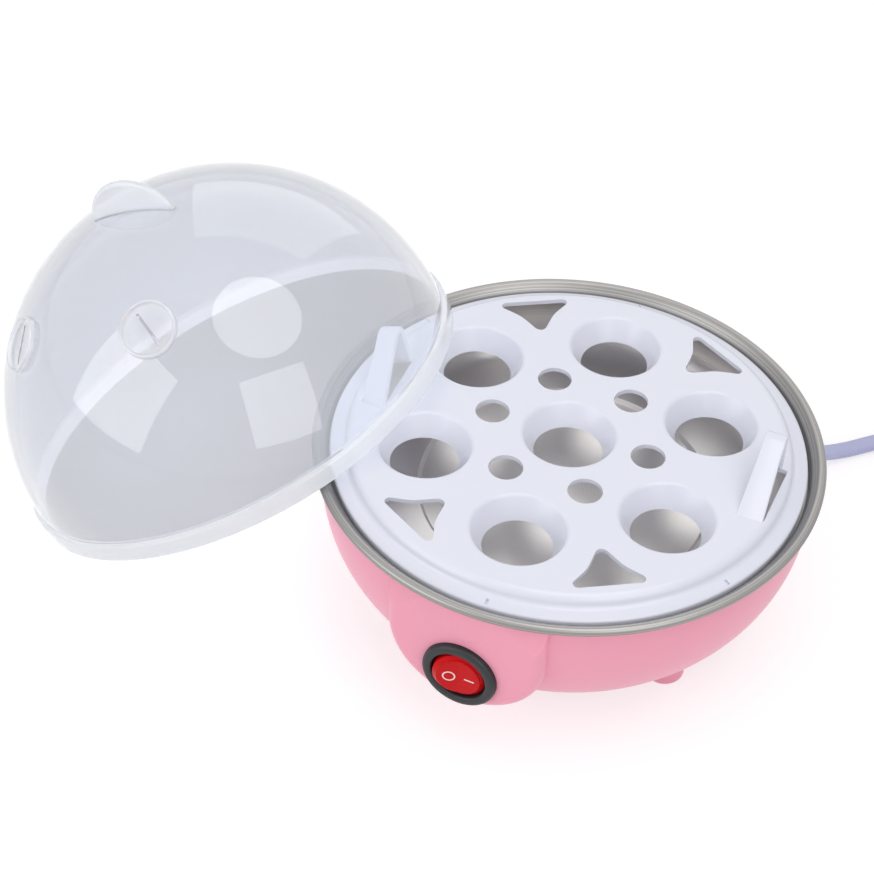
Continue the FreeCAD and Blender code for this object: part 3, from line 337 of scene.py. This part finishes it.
# Spark-eroded texture about 0.6 mm across
surface_grain(tree, shader, scale=1600.0, detail=2.0, strength=0.08, depth=0.2)
bezel_profile = np.concatenate([
    [(0, -BARREL_DEPTH), (BARREL, -BARREL_DEPTH), (BARREL, 0.0), (BEZEL, 0.0)],
    arc((BEZEL - BEZEL_ROUND, BEZEL_TOP - BEZEL_ROUND), BEZEL_ROUND, 0, 90, 8),
    arc((WELL + LIP_ROUND, BEZEL_TOP - LIP_ROUND), LIP_ROUND, 90, 180, 6),
    [(WELL, -WELL_DEPTH), (0, -WELL_DEPTH)]])
bezel = joined("switch_bezel", [placed(lathe(bezel_profile, 96), facing_out, switch_face)])
fit(bezel, black, "base", ["switch_housing"])
dress("cord_tie", black)

ROCKER_THROW = math.radians(9.0)
ROCKER_PROUD = 0.2
ROCKER_MIDDLE = 1.7
ROCKER_CREASE = 0.4
ROCKER_FACE = 6.4
ROCKER_EDGE = 0.5
ROCKER_BALL = 8.2
ROCKER_FOOT = -3.0
red, tree, shader = start_material("translucent_red_polycarbonate", Roughness=0.22, IOR=1.58,
                                   Specular_IOR_Level=0.1)
spot = add_node(tree, "ShaderNodeTexCoord")
# Slow change of depth in the moulding, about 5 mm across
cloud = add_node(tree, "ShaderNodeTexNoise", {"Vector": spot.outputs["Object"], "Scale": 200.0})
depth = add_node(tree, "ShaderNodeValToRGB", {0: cloud.outputs["Fac"]})
depth.color_ramp.elements[0].color = linear("#BC0810")
depth.color_ramp.elements[1].color = linear("#D40C14")
tree.links.new(depth.outputs[0], shader.inputs["Base Color"])


def rocker_height(across):
    """Shallow V with a soft middle: the root of distance squared plus crease squared, times the slope."""
    rise = np.sqrt(across ** 2 + ROCKER_CREASE ** 2) - ROCKER_CREASE
    return ROCKER_MIDDLE + rise * math.tan(ROCKER_THROW)


def rocker_sheet():
    """Ball-sided disc: rings of a polar grid rise over the face, roll over its edge and go down the side."""
    angle = np.linspace(0, 2 * np.pi, 96, endpoint=False)[:, None]
    flat = np.linspace(0, ROCKER_FACE, 15)
    roll = np.radians(np.linspace(15, 90, 6))
    reach = np.concatenate([flat, ROCKER_FACE + ROCKER_EDGE * np.sin(roll)])[None]
    drop = np.concatenate([0 * flat, ROCKER_EDGE * (1 - np.cos(roll))])[None]
    across = reach * np.cos(angle)
    along = reach * np.sin(angle)
    face = np.stack([across, along, rocker_height(across) - drop], axis=-1)
    down = np.linspace(0, 1, 8)[1:]
    rim = face[:, -1, 2][:, None]
    depth = rim + (ROCKER_FOOT - rim) * down
    side = np.sqrt(ROCKER_BALL ** 2 - depth ** 2)
    skirt = np.stack([side * np.cos(angle), side * np.sin(angle), depth], axis=-1)
    close = np.zeros((len(angle), 1, 3))
    close[..., 2] = ROCKER_FOOT
    points = np.concatenate([face, skirt, close], axis=1)
    return grid(points[:, ::-1], close_rows=True)


tilt = np.array(Matrix.Rotation(ROCKER_THROW, 3, "Z"))
rocker_turn = tilt @ facing_out
rocker_spot = switch_face + outwards * ROCKER_PROUD
cap = joined("rocker_cap", [placed(rocker_sheet(), rocker_turn, rocker_spot)])
fit(cap, red, "rocker", ["rocker"])

# The ink stands a little above the face, and its sides reach a little into it
INK = np.array([[-0.1, 0.05, 0.05, -0.1]])


def ring_mark(centre, inner, outer):
    """Flat ring whose section, four points at two radii, follows the height of the rocker's face."""
    angle = np.linspace(0, 2 * np.pi, 48, endpoint=False)[:, None]
    reach = np.array([[outer, outer, inner, inner]])
    across = centre + reach * np.cos(angle)
    height = rocker_height(across) + INK
    return grid(np.stack([across, reach * np.sin(angle), height], axis=-1), close_rows=True)


def bar_mark(centre, length, width):
    """Thin bar whose section, four points at two sides, follows the height of the rocker's face."""
    across = centre + np.linspace(-0.5, 0.5, 8)[:, None] * length
    along = np.array([[-0.5, -0.5, 0.5, 0.5]]) * width
    height = rocker_height(across) + INK
    return grid(np.stack([across + 0 * along, along + 0 * across, height], axis=-1)[:, ::-1])


paint, tree, shader = start_material("printed_white_ink", Roughness=0.5)
spot = add_node(tree, "ShaderNodeTexCoord")
# Thin places in the ink, about 0.5 mm across
thin = add_node(tree, "ShaderNodeTexNoise", {"Vector": spot.outputs["Object"], "Scale": 2000.0})
cover = add_node(tree, "ShaderNodeValToRGB", {0: thin.outputs["Fac"]})
cover.color_ramp.elements[0].color = linear("#E4D6D6")
cover.color_ramp.elements[1].color = linear("#F6F4F3")
tree.links.new(cover.outputs[0], shader.inputs["Base Color"])
mark_sheets = [ring_mark(centre=-2.8, inner=1.55, outer=1.95), bar_mark(centre=3.4, length=3.1, width=0.5)]
marks = joined("switch_marks", [placed(sheet, rocker_turn, rocker_spot) for sheet in mark_sheets])
fit(marks, paint, "rocker")

# Heater, controls and leads, out of sight under the dish, and the plug's pins: an aluminium plate, a sheathed
# ring element, bare steel fixings, brass tabs, dark mouldings, insulated wire and nickel plate.
PLAIN_FINISHES = {
    "cast_aluminium": ("#B9B9BB", 1.0, 0.45, ("heater_plate",)),
    "bare_steel": ("#9C9C9E", 1.0, 0.38, ("heating_element", "element_terminals", "basin_stud", "clamp_bar",
                                         "clamp_nut", "fuse_clip", "cover_screws")),
    "stamped_brass": ("#C9A65C", 1.0, 0.32, ("thermostat_tabs", "switch_terminals")),
    "dark_phenolic": ("#2B2522", 0.0, 0.5, ("thermostat",)),
    "woven_glass_sleeve": ("#E3E0D3", 0.0, 0.85, ("thermal_fuse",)),
    "brown_wire_insulation": ("#6B4128", 0.0, 0.45, ("live_lead", "switched_lead", "element_lead")),
    "blue_wire_insulation": ("#3156A0", 0.0, 0.45, ("neutral_lead", "fuse_lead")),
    "lamp_glass": ("#F2D6C4", 0.0, 0.1, ("switch_lamp",)),
    "nickel_plate": ("#CFCCC6", 1.0, 0.22, ("plug_pins",)),
}
for finish, (colour, metal, rough, nodes) in PLAIN_FINISHES.items():
    made, tree, shader = start_material(finish, Base_Color=linear(colour), Metallic=metal, Roughness=rough)
    # Handling marks and casting grain, about 1 mm across
    surface_grain(tree, shader, scale=1000.0, detail=3.0, strength=0.1, depth=0.2)
    for node in nodes:
        dress(node, made)

# Tray. White polypropylene, one thin moulding: seven funnels round the egg seats, small holes,
# steam vents, a stepped edge that drops into the dish, and two straps over finger slots.
TRAY_TOP = 64.5
TRAY_TURN = math.radians(9.8)
TRAY_WALL = 1.5
PLATE = 65.5
SHOULDER = 3.0
TRAY_EDGE = 73.3
EDGE_FOOT = 57.2
EDGE_ROUND = 0.8
SEAT_CIRCLE = 44.5
SEAT_MOUTH = 15.46
SEAT_HOLE = 10.65
FUNNEL_DROP = 7.3
FUNNEL_ROUND = 1.6
FUNNEL_SLOPE = 62.2
HOLE_CIRCLE = 25.2
HOLE = 5.3
VENT_TIP = 47.1
VENT_WAIST = (56.5, 5.4)
VENT_CORNER = (63.6, 13.2)
VENT_ROUNDS = np.array([2.0, 14.0, 1.6, 1.6, 14.0])
VENT_STEPS = (30, 90, 210, 270)
white, tree, shader = start_material("moulded_white_polypropylene", Base_Color=linear("#E8EAF6"),
                                     Roughness=0.22)
# Mould unevenness about 3 mm across
surface_grain(tree, shader, scale=300.0, detail=2.0, strength=0.04, depth=0.4)


def circle(centre, radius, count):
    """Points round a circle, from its +X side."""
    angle = np.linspace(0, 2 * np.pi, count, endpoint=False)
    return np.stack([centre[0] + radius * np.cos(angle), centre[1] + radius * np.sin(angle)], axis=-1)


def spin(points, angle):
    """Plan points turned about the axis."""
    return points @ np.array([[math.cos(angle), math.sin(angle)], [-math.sin(angle), math.cos(angle)]])


def rounded_loop(corners, radius, count=8):
    """Closed loop with an arc at each corner, tangent to both its sides; one radius for all, or one each."""
    corners = np.array(corners, float)
    back = np.roll(corners, 1, axis=0) - corners
    ahead = np.roll(corners, -1, axis=0) - corners
    back /= np.linalg.norm(back, axis=1)[:, None]
    ahead /= np.linalg.norm(ahead, axis=1)[:, None]
    half = np.arccos((back * ahead).sum(1)) / 2
    inward = back + ahead
    inward /= np.linalg.norm(inward, axis=1)[:, None]
    centre = corners + inward * (radius / np.sin(half))[:, None]
    start = corners + back * (radius / np.tan(half))[:, None] - centre
    end = corners + ahead * (radius / np.tan(half))[:, None] - centre
    share = np.linspace(0, 1, count)[None, :, None]
    sweep = (np.pi - 2 * half)[:, None, None]
    points = np.sin((1 - share) * sweep) * start[:, None] + np.sin(share * sweep) * end[:, None]
    return (points / np.sin(sweep) + centre[:, None]).reshape(-1, 2)


def flat_sheet(loops, height):
    """Level sheet inside the first loop, open inside the others; a filled flat curve gives its faces."""
    curve = bpy.data.curves.new("loops", "CURVE")
    curve.dimensions = "2D"
    curve.fill_mode = "FRONT"
    for loop in loops:
        spline = curve.splines.new("POLY")
        spline.points.add(len(loop) - 1)
        places = np.column_stack([loop, np.zeros(len(loop)), np.ones(len(loop))])
        spline.points.foreach_set("co", places.ravel())
        spline.use_cyclic_u = True
    holder = bpy.data.objects.new("loops", curve)
    bpy.context.scene.collection.objects.link(holder)
    mesh = bpy.data.meshes.new_from_object(holder)
    mesh.calc_loop_triangles()
    points = np.zeros(len(mesh.vertices) * 3)
    mesh.vertices.foreach_get("co", points)
    faces = np.zeros(len(mesh.loop_triangles) * 3, int)
    mesh.loop_triangles.foreach_get("vertices", faces)
    points = points.reshape(-1, 3)
    faces = faces.reshape(-1, 3)
    edge = points[faces]
    area = np.cross(edge[:, 1] - edge[:, 0], edge[:, 2] - edge[:, 0])[:, 2]
    faces[area < 0] = faces[area < 0][:, ::-1]
    points[:, 2] = height
    bpy.data.objects.remove(holder)
    bpy.data.curves.remove(curve)
    bpy.data.meshes.remove(mesh)
    return points, faces


six = TRAY_TURN + np.arange(6) * np.pi / 3
between = six + np.pi / 6
seats = np.vstack([[0, 0], np.stack([SEAT_CIRCLE * np.cos(six), SEAT_CIRCLE * np.sin(six)], axis=-1)])
small = np.stack([HOLE_CIRCLE * np.cos(between), HOLE_CIRCLE * np.sin(between)], axis=-1)
bend = np.radians(np.linspace(0, FUNNEL_SLOPE, 10))
lip_reach = SEAT_MOUTH - FUNNEL_ROUND * np.sin(bend)
lip_height = TRAY_TOP - FUNNEL_ROUND * (1 - np.cos(bend))
lip = np.stack([lip_reach, lip_height], axis=-1)
funnel = np.concatenate([lip, [(SEAT_HOLE, TRAY_TOP - FUNNEL_DROP)]])
vent = rounded_loop([(VENT_TIP, 0), VENT_WAIST, VENT_CORNER, (VENT_CORNER[0], -VENT_CORNER[1]),
                     (VENT_WAIST[0], -VENT_WAIST[1])], VENT_ROUNDS)
loops = [circle((0, 0), PLATE, 240)]
loops += [circle(seat, SEAT_MOUTH, 72) for seat in seats]
loops += [circle(hole, HOLE, 40) for hole in small]
loops += [spin(vent, TRAY_TURN + math.radians(step)) for step in VENT_STEPS]
edge_profile = np.concatenate([
    [(TRAY_EDGE, EDGE_FOOT)], arc((TRAY_EDGE - EDGE_ROUND, 59.4), EDGE_ROUND, 0, 80, 5),
    arc((70.0, 62.0), 1.5, 262, 200, 6), arc((PLATE, TRAY_TOP - SHOULDER), SHOULDER, 5, 90, 9)])
tray_sheets = [flat_sheet(loops, TRAY_TOP), lathe(edge_profile)]
tray_sheets += [lathe(funnel, 72, seat) for seat in seats]
plate = joined("tray_plate", tray_sheets)
wall = plate.modifiers.new("wall", "SOLIDIFY")
wall.thickness = TRAY_WALL * MM
wall.offset = -1.0
wall.use_even_offset = True
settle(plate)


def mould(made, tool, way):
    """Join a tool object to a piece or cut it away, and drop the tool."""
    step = made.modifiers.new(way, "BOOLEAN")
    step.operation = way
    step.solver = "EXACT"
    step.object = tool
    settle(made)
    bpy.data.objects.remove(tool)


def prism(loop, low, high):
    """Upright closed prism on a plan loop that runs against the clock."""
    middle = loop.mean(axis=0)
    share = np.array([0.0, 1.0, 1.0, 0.0])[None, :, None]
    height = np.broadcast_to(np.array([low, low, high, high])[None, :, None], (len(loop), 4, 1))
    return grid(np.concatenate([middle + share * (loop[:, None] - middle), height], axis=-1), close_rows=True)


# Finger slots under the straps: the step round the tray, both ends along it, and how far the left one tapers
SLOTS = ((330, -12.6, 11.2, 0.0), (150, -11.2, 12.6, 1.8))
SLOT_IN = 56.8
SLOT_OUT = (65.0, 65.9)
SLOT_ROUND = 0.6
SLOT_CUT = (50.0, 70.0)
for step, near, far, taper in SLOTS:
    slot = rounded_loop([(SLOT_IN, near), (SLOT_OUT[0], near), (SLOT_OUT[1] - taper, far), (SLOT_IN, far)],
                        SLOT_ROUND, 4)
    slot_tool = prism(spin(slot, TRAY_TURN + math.radians(step)), *SLOT_CUT)
    mould(plate, joined("slot", [slot_tool]), "DIFFERENCE")

# Small notches in the ledge
NOTCH_STEPS = (250.2, 309.0, 70.2, 129.0)
NOTCH_REACH = (70.4, 72.4)
NOTCH_HALF = 0.45
NOTCH_CUT = (59.6, 63.0)
notch = np.array([(NOTCH_REACH[0], -NOTCH_HALF), (NOTCH_REACH[1], -NOTCH_HALF),
                  (NOTCH_REACH[1], NOTCH_HALF), (NOTCH_REACH[0], NOTCH_HALF)])
for step in NOTCH_STEPS:
    mould(plate, joined("notch", [prism(spin(notch, math.radians(step)), *NOTCH_CUT)]), "DIFFERENCE")
fit(plate, white, "tray", ["egg_tray"])

STRAP_FOOT = 63.6
STRAP_START = -12.6
STRAP_LEG = 12.3
STRAP_KNEE = 1.6
KNEE_HEIGHT = 75.0
STRAP_HALVES = (4.1, 3.3, 3.2)
STRAP_THICK = 2.2
STRAP_ROUND = 0.45
STRAP_IN = 57.2
STRAP_MIDDLE = 3.5
LEFT_STRAP_LEAN = math.radians(18)


def capped_tube(rings):
    """Closed rings joined into a tube, with a fan to the middle of each end ring."""
    first = np.repeat(rings[:1].mean(axis=1, keepdims=True), rings.shape[1], axis=1)
    last = np.repeat(rings[-1:].mean(axis=1, keepdims=True), rings.shape[1], axis=1)
    return grid(np.concatenate([first, rings, last]), close_columns=True)


def strap_sheet(azimuth, sense, outward):
    """Rounded bar carried up a ramp, over a knee and down a leg; it narrows to the top and leans outward."""
    path = np.concatenate([
        [(STRAP_START, STRAP_FOOT), (-4.0, 68.7), (4.0, 73.5)],
        arc((9.6, KNEE_HEIGHT), STRAP_KNEE, 120, 90, 4),
        arc((STRAP_LEG - STRAP_KNEE, KNEE_HEIGHT), STRAP_KNEE, 90, 0, 6),
        [(STRAP_LEG, 70.0), (STRAP_LEG, STRAP_FOOT)]])
    way = np.gradient(path, axis=0)
    way /= np.linalg.norm(way, axis=1)[:, None]
    lift = np.stack([-way[:, 1], way[:, 0]], axis=-1)
    half = np.interp(np.arange(len(path)), [0, 2, len(path) - 1], STRAP_HALVES)[:, None]
    thick = STRAP_THICK / 2
    section = rounded_loop([(1, -thick), (1, thick), (-1, thick), (-1, -thick)], STRAP_ROUND, 4)
    side = np.sign(section[None, :, 0]) * (half - (1 - np.abs(section[None, :, 0]))) + STRAP_MIDDLE
    along = path[:, None, 0] + lift[:, None, 0] * section[None, :, 1]
    above = path[:, None, 1] + lift[:, None, 1] * section[None, :, 1] - TRAY_TOP
    radial = np.array([math.cos(azimuth), math.sin(azimuth)])
    round_way = np.array([-math.sin(azimuth), math.cos(azimuth)]) * sense
    reach = STRAP_IN + side * math.cos(outward) + above * math.sin(outward)
    height = TRAY_TOP - side * math.sin(outward) + above * math.cos(outward)
    plan = reach[..., None] * radial + along[..., None] * round_way
    points = np.concatenate([plan, height[..., None]], axis=-1)
    return capped_tube(points if sense > 0 else points[:, ::-1])


straps = joined("tray_straps", [strap_sheet(TRAY_TURN + math.radians(330), 1, 0.0),
                                strap_sheet(TRAY_TURN + math.radians(150), -1, LEFT_STRAP_LEAN)])
fit(straps, white, "tray", sharp=50.0)

# Lid. Translucent polypropylene, one moulding: dome, rim band, a fin to lift it by and two vent ports
# with slits. The wall is thin and a little milky, so what is behind it shows through a soft haze.
DOME = 74.2
LID_WALL = 1.6
LID_TURN = math.radians(161.6)
LID_LEAN = math.radians(28.2)
lid_spot = np.array([-104.1, 37.1, 36.5])
BAND = 5.4
BAND_OUT = 75.4
BAND_IN = 73.8
BAND_FOOT_ROUND = 0.4
BAND_TOP_ROUND = 0.6
lean = np.array(Matrix.Rotation(LID_TURN, 3, "Z") @ Matrix.Rotation(LID_LEAN, 3, "Y"))
dome_spot = lid_spot + lean @ np.array([0.0, 0.0, BAND])
# The index is below the real one, about 1.5, so that the wall bends what is behind it only slightly
milky, tree, shader = start_material("translucent_polypropylene", IOR=1.3, Coat_Weight=0.8,
                                     Coat_Roughness=0.02)
spot = add_node(tree, "ShaderNodeTexCoord")
# Flow marks of the moulding, about 12 mm across
flow = add_node(tree, "ShaderNodeTexNoise", {"Vector": spot.outputs["Object"], "Scale": 80.0, "Detail": 2.0})
haze = add_node(tree, "ShaderNodeMapRange", {"Value": flow.outputs["Fac"], "To Min": 0.03, "To Max": 0.07})
tree.links.new(haze.outputs[0], shader.inputs["Roughness"])
# The fin, the band and the port rims stand outside the dome, and are thick enough to look whiter
PROUD = (0.1, 0.9)
OVER_BAND = (0.3, 1.2)
span = add_node(tree, "ShaderNodeVectorMath", {0: spot.outputs["Object"], 1: (dome_spot * MM).tolist()},
                operation="DISTANCE")
proud = add_node(tree, "ShaderNodeMapRange", {
    "Value": span.outputs["Value"], "From Min": (DOME + PROUD[0]) * MM, "From Max": (DOME + PROUD[1]) * MM})
rise = add_node(tree, "ShaderNodeVectorMath", {0: spot.outputs["Object"], 1: lean[:, 2].tolist()},
                operation="DOT_PRODUCT")
band_top = lid_spot @ lean[:, 2] + BAND
low = add_node(tree, "ShaderNodeMapRange", {
    "Value": rise.outputs["Value"], "From Min": (band_top + OVER_BAND[0]) * MM,
    "From Max": (band_top + OVER_BAND[1]) * MM, "To Min": 1.0, "To Max": 0.0})
thick = add_node(tree, "ShaderNodeMath", {0: proud.outputs[0], 1: low.outputs[0]}, operation="MAXIMUM")
clear = add_node(tree, "ShaderNodeMapRange", {"Value": thick.outputs[0], "To Min": 0.76, "To Max": 0.5})
tree.links.new(clear.outputs[0], shader.inputs["Transmission Weight"])
tone = add_node(tree, "ShaderNodeValToRGB", {0: thick.outputs[0]})
tone.color_ramp.elements[0].color = linear("#F2F5FB")
tone.color_ramp.elements[1].color = linear("#F6F8FC")
tree.links.new(tone.outputs[0], shader.inputs["Base Color"])
# Lamps shine through the wall, so what stands under the lid is lit
rays = add_node(tree, "ShaderNodeLightPath")
pane = add_node(tree, "ShaderNodeBsdfTransparent")
wall_look = add_node(tree, "ShaderNodeMixShader", {
    0: rays.outputs["Is Shadow Ray"], 1: shader.outputs[0], 2: pane.outputs[0]})
tree.links.new(wall_look.outputs[0], tree.nodes["Material Output"].inputs["Surface"])
band_shoulder = BAND - BAND_TOP_ROUND
dome_profile = np.concatenate([
    [(BAND_IN, 0.3), (74.1, 0.0), (BAND_OUT - BAND_FOOT_ROUND, 0.0)],
    arc((BAND_OUT - BAND_FOOT_ROUND, BAND_FOOT_ROUND), BAND_FOOT_ROUND, -60, 0, 4),
    arc((BAND_OUT - BAND_TOP_ROUND, band_shoulder), BAND_TOP_ROUND, 0, 80, 5),
    arc((0, BAND), DOME, 0.3, 90, 90), arc((0, BAND), DOME - LID_WALL, 90, 0.3, 90),
    [(73.0, BAND), (BAND_IN, band_shoulder), (BAND_IN, 0.3)]])
lid = joined("lid_dome", [placed(lathe(dome_profile), lean, lid_spot)])

# The fin leans off the crown, towards one side of the lid
FIN_REACH = 16.01
FIN_HALF = 1.25
FIN_CENTRE = 74.59
FIN_SPREAD = 79
FIN_LEAN = math.radians(5.0)
FIN_SIDE = math.radians(144.0)


def fin_sheet():
    """Half-disc plate: each row goes up one face from inside the wall, round the edge and down again."""
    turn = np.radians(np.linspace(-FIN_SPREAD, FIN_SPREAD, 65))[:, None]
    edge = np.radians(np.linspace(0, 180, 13))[None]
    reach = FIN_REACH - FIN_HALF * (1 - np.sin(edge))
    across = FIN_HALF * np.cos(edge) + 0 * turn
    rim = np.stack([reach * np.sin(turn), across, FIN_CENTRE + reach * np.cos(turn)], axis=-1)
    foot = rim.copy()
    foot[..., 2] = BAND + np.sqrt((DOME - LID_WALL / 2) ** 2 - rim[..., 0] ** 2)
    rise = np.linspace(0, 1, 9)[None, :-1, None]
    front = foot[:, :1] + rise * (rim[:, :1] - foot[:, :1])
    rear = foot[:, -1:] + rise[:, ::-1] * (rim[:, -1:] - foot[:, -1:])
    return capped_tube(np.concatenate([front, rim, rear], axis=1)[:, ::-1])


fin_axis = Vector((-math.sin(FIN_SIDE), math.cos(FIN_SIDE), 0.0))
off_crown = np.array(Matrix.Rotation(FIN_LEAN, 3, fin_axis))
fin_spot = dome_spot - lean @ off_crown @ np.array([0.0, 0.0, BAND])
mould(lid, joined("fin", [placed(fin_sheet(), lean @ off_crown, fin_spot)]), "UNION")

# Each port is a round rimmed boss 42 degrees down the dome, with a slit cut askew through its floor
PORT_WAYS = (117.0, 52.5)
PORT_DOWN = math.radians(42)
PORT = 8.9
PORT_ROOT = 73.0
PORT_FLOOR = 74.6
PORT_SHOULDER = 75.3
PORT_ROUND = 0.4
SLIT_SKEW = math.radians(16)
SLIT_HALVES = (6.2, 0.5)
SLIT_ROUND = 0.4
SLIT_CUT = (67.6, 81.6)
port_profile = np.concatenate([
    [(0, PORT_ROOT), (9.1, PORT_ROOT), (PORT, DOME)], arc((8.5, PORT_SHOULDER), PORT_ROUND, 0, 90, 6),
    arc((8.4, PORT_SHOULDER), PORT_ROUND, 90, 180, 5), [(7.9, 74.9), (7.6, PORT_FLOOR), (0, PORT_FLOOR)]])
long, wide = SLIT_HALVES
slit = rounded_loop([(long, -wide), (long, wide), (-long, wide), (-long, -wide)], SLIT_ROUND, 5)
for port_way in PORT_WAYS:
    turned = Matrix.Rotation(math.radians(port_way), 3, "Z") @ Matrix.Rotation(PORT_DOWN, 3, "Y")
    aim = lean @ np.array(turned)
    askew = aim @ np.array(Matrix.Rotation(SLIT_SKEW, 3, "Z"))
    mould(lid, joined("port", [placed(lathe(port_profile, 64), aim, dome_spot)]), "UNION")
    mould(lid, joined("slit", [placed(prism(slit, *SLIT_CUT), askew, dome_spot)]), "DIFFERENCE")
fit(lid, milky, "lid", ["lid"])

# Cord. Flat two-core lead in pale PVC: it leaves the boss at the back, drops to the table and runs to a
# coil held by a tie; the plug lies beside the coil.
CORD_WIDTH = 6.0
CORD_THICK = 3.8
CORD_TURN = math.radians(34.0)
CORD_HEADING = math.radians(23.0)
EXIT_REACH = 78.0
EXIT_HEIGHT = 11.2
RUN = 22
COIL_HEADING = math.radians(16.4)
COIL = 34.0
COIL_PITCH = 6.3
COIL_TURNS = 3.25
COIL_FOLD = 1.75
COIL_POINTS = 53
COIL_LEAD = 5.4
COIL_HEIGHT = 2.7
COIL_CLIMB = 4.1
TAIL_RUN = 14
TAIL_BEND = math.radians(6)
PLUG_HEIGHT = 9.6
jacket, tree, shader = start_material("extruded_white_pvc", Roughness=0.5)
# Die lines and handling dents, about 1.5 mm across
grain = surface_grain(tree, shader, scale=650.0, detail=3.0, strength=0.08, depth=0.3)
tint = add_node(tree, "ShaderNodeValToRGB", {0: grain.outputs["Fac"]})
tint.color_ramp.elements[0].color = linear("#B2B7DC")
tint.color_ramp.elements[1].color = linear("#BEC3E4")
tree.links.new(tint.outputs[0], shader.inputs["Base Color"])
for node in ("strain_relief", "plug_body"):
    dress(node, jacket)


def heading(length, angle, height=0.0):
    """Step of a length along a plan angle."""
    return np.array([length * math.cos(angle), length * math.sin(angle), height])


exit_tip = heading(EXIT_REACH, CORD_TURN, EXIT_HEIGHT)
landing = np.array([96.3, 62.7, 2.2])
bend_spot = landing + heading(RUN, CORD_HEADING, 0.5)
entry = bend_spot + heading(RUN, COIL_HEADING)
coil_start = entry + heading(COIL_LEAD, COIL_HEADING)
coil_centre = coil_start - heading(COIL, COIL_HEADING + math.pi / 2)
# The coil winds in, climbs a layer about the fold, and winds out again on top
turns = np.linspace(0, COIL_TURNS, COIL_POINTS)
coil_reach = COIL - COIL_PITCH * COIL_FOLD + COIL_PITCH * np.abs(turns - COIL_FOLD)
climb = np.clip((turns - COIL_FOLD + 0.25) / 0.5, 0, 1)
coil_angle = COIL_HEADING + math.pi / 2 - 2 * np.pi * turns
coil = np.stack([coil_centre[0] + coil_reach * np.cos(coil_angle),
                 coil_centre[1] + coil_reach * np.sin(coil_angle),
                 COIL_HEIGHT + COIL_CLIMB * climb * climb * (3 - 2 * climb)], axis=-1)
leave = COIL_HEADING - 2 * np.pi * COIL_TURNS
tail = coil[-1] + heading(COIL_LEAD, leave)
tail_bend = tail + heading(TAIL_RUN, leave, 1.8)
tail_end = tail_bend + heading(TAIL_RUN, leave - TAIL_BEND)
tail_end[2] = PLUG_HEIGHT
route = np.vstack([exit_tip - heading(2, CORD_TURN), exit_tip + heading(8, CORD_TURN),
                   exit_tip + heading(16, CORD_TURN), landing, bend_spot, entry,
                   coil, tail, tail_bend, tail_end]) * MM


def read_line(points):
    """Points along one smooth NURBS line that has the given control points."""
    curve = bpy.data.curves.new("cord_line", "CURVE")
    curve.dimensions = "3D"
    spline = curve.splines.new("NURBS")
    spline.points.add(len(points) - 1)
    spline.points.foreach_set("co", np.column_stack([points, np.ones(len(points))]).ravel())
    spline.order_u = 3
    spline.use_endpoint_u = True
    curve.resolution_u = 6
    holder = bpy.data.objects.new("cord_line", curve)
    bpy.context.scene.collection.objects.link(holder)
    mesh = bpy.data.meshes.new_from_object(holder)
    line = np.zeros(len(mesh.vertices) * 3)
    mesh.vertices.foreach_get("co", line)
    bpy.data.objects.remove(holder)
    bpy.data.curves.remove(curve)
    bpy.data.meshes.remove(mesh)
    return line.reshape(-1, 3)


def flat_cord(line):
    """Stadium section carried along the line, kept level across its width, with both ends closed flat."""
    way = np.gradient(line, axis=0)
    way /= np.linalg.norm(way, axis=1)[:, None]
    side = np.cross(way, [0.0, 0.0, 1.0])
    side /= np.linalg.norm(side, axis=1)[:, None]
    lift = np.cross(side, way)
    half = CORD_THICK / 2
    flat = (CORD_WIDTH - CORD_THICK) / 2
    section = np.concatenate([arc((flat, 0), half, -90, 90, 9), arc((-flat, 0), half, 90, 270, 9)])
    points = line[:, None] + side[:, None] * section[None, :, :1] + lift[:, None] * section[None, :, 1:]
    return capped_tube(points[:, ::-1])


line = read_line(route) / MM
cord = joined("flat_cord", [flat_cord(line)])
fit(cord, jacket, "base", ["power_cord", "cord_coil", "cord_tail"])
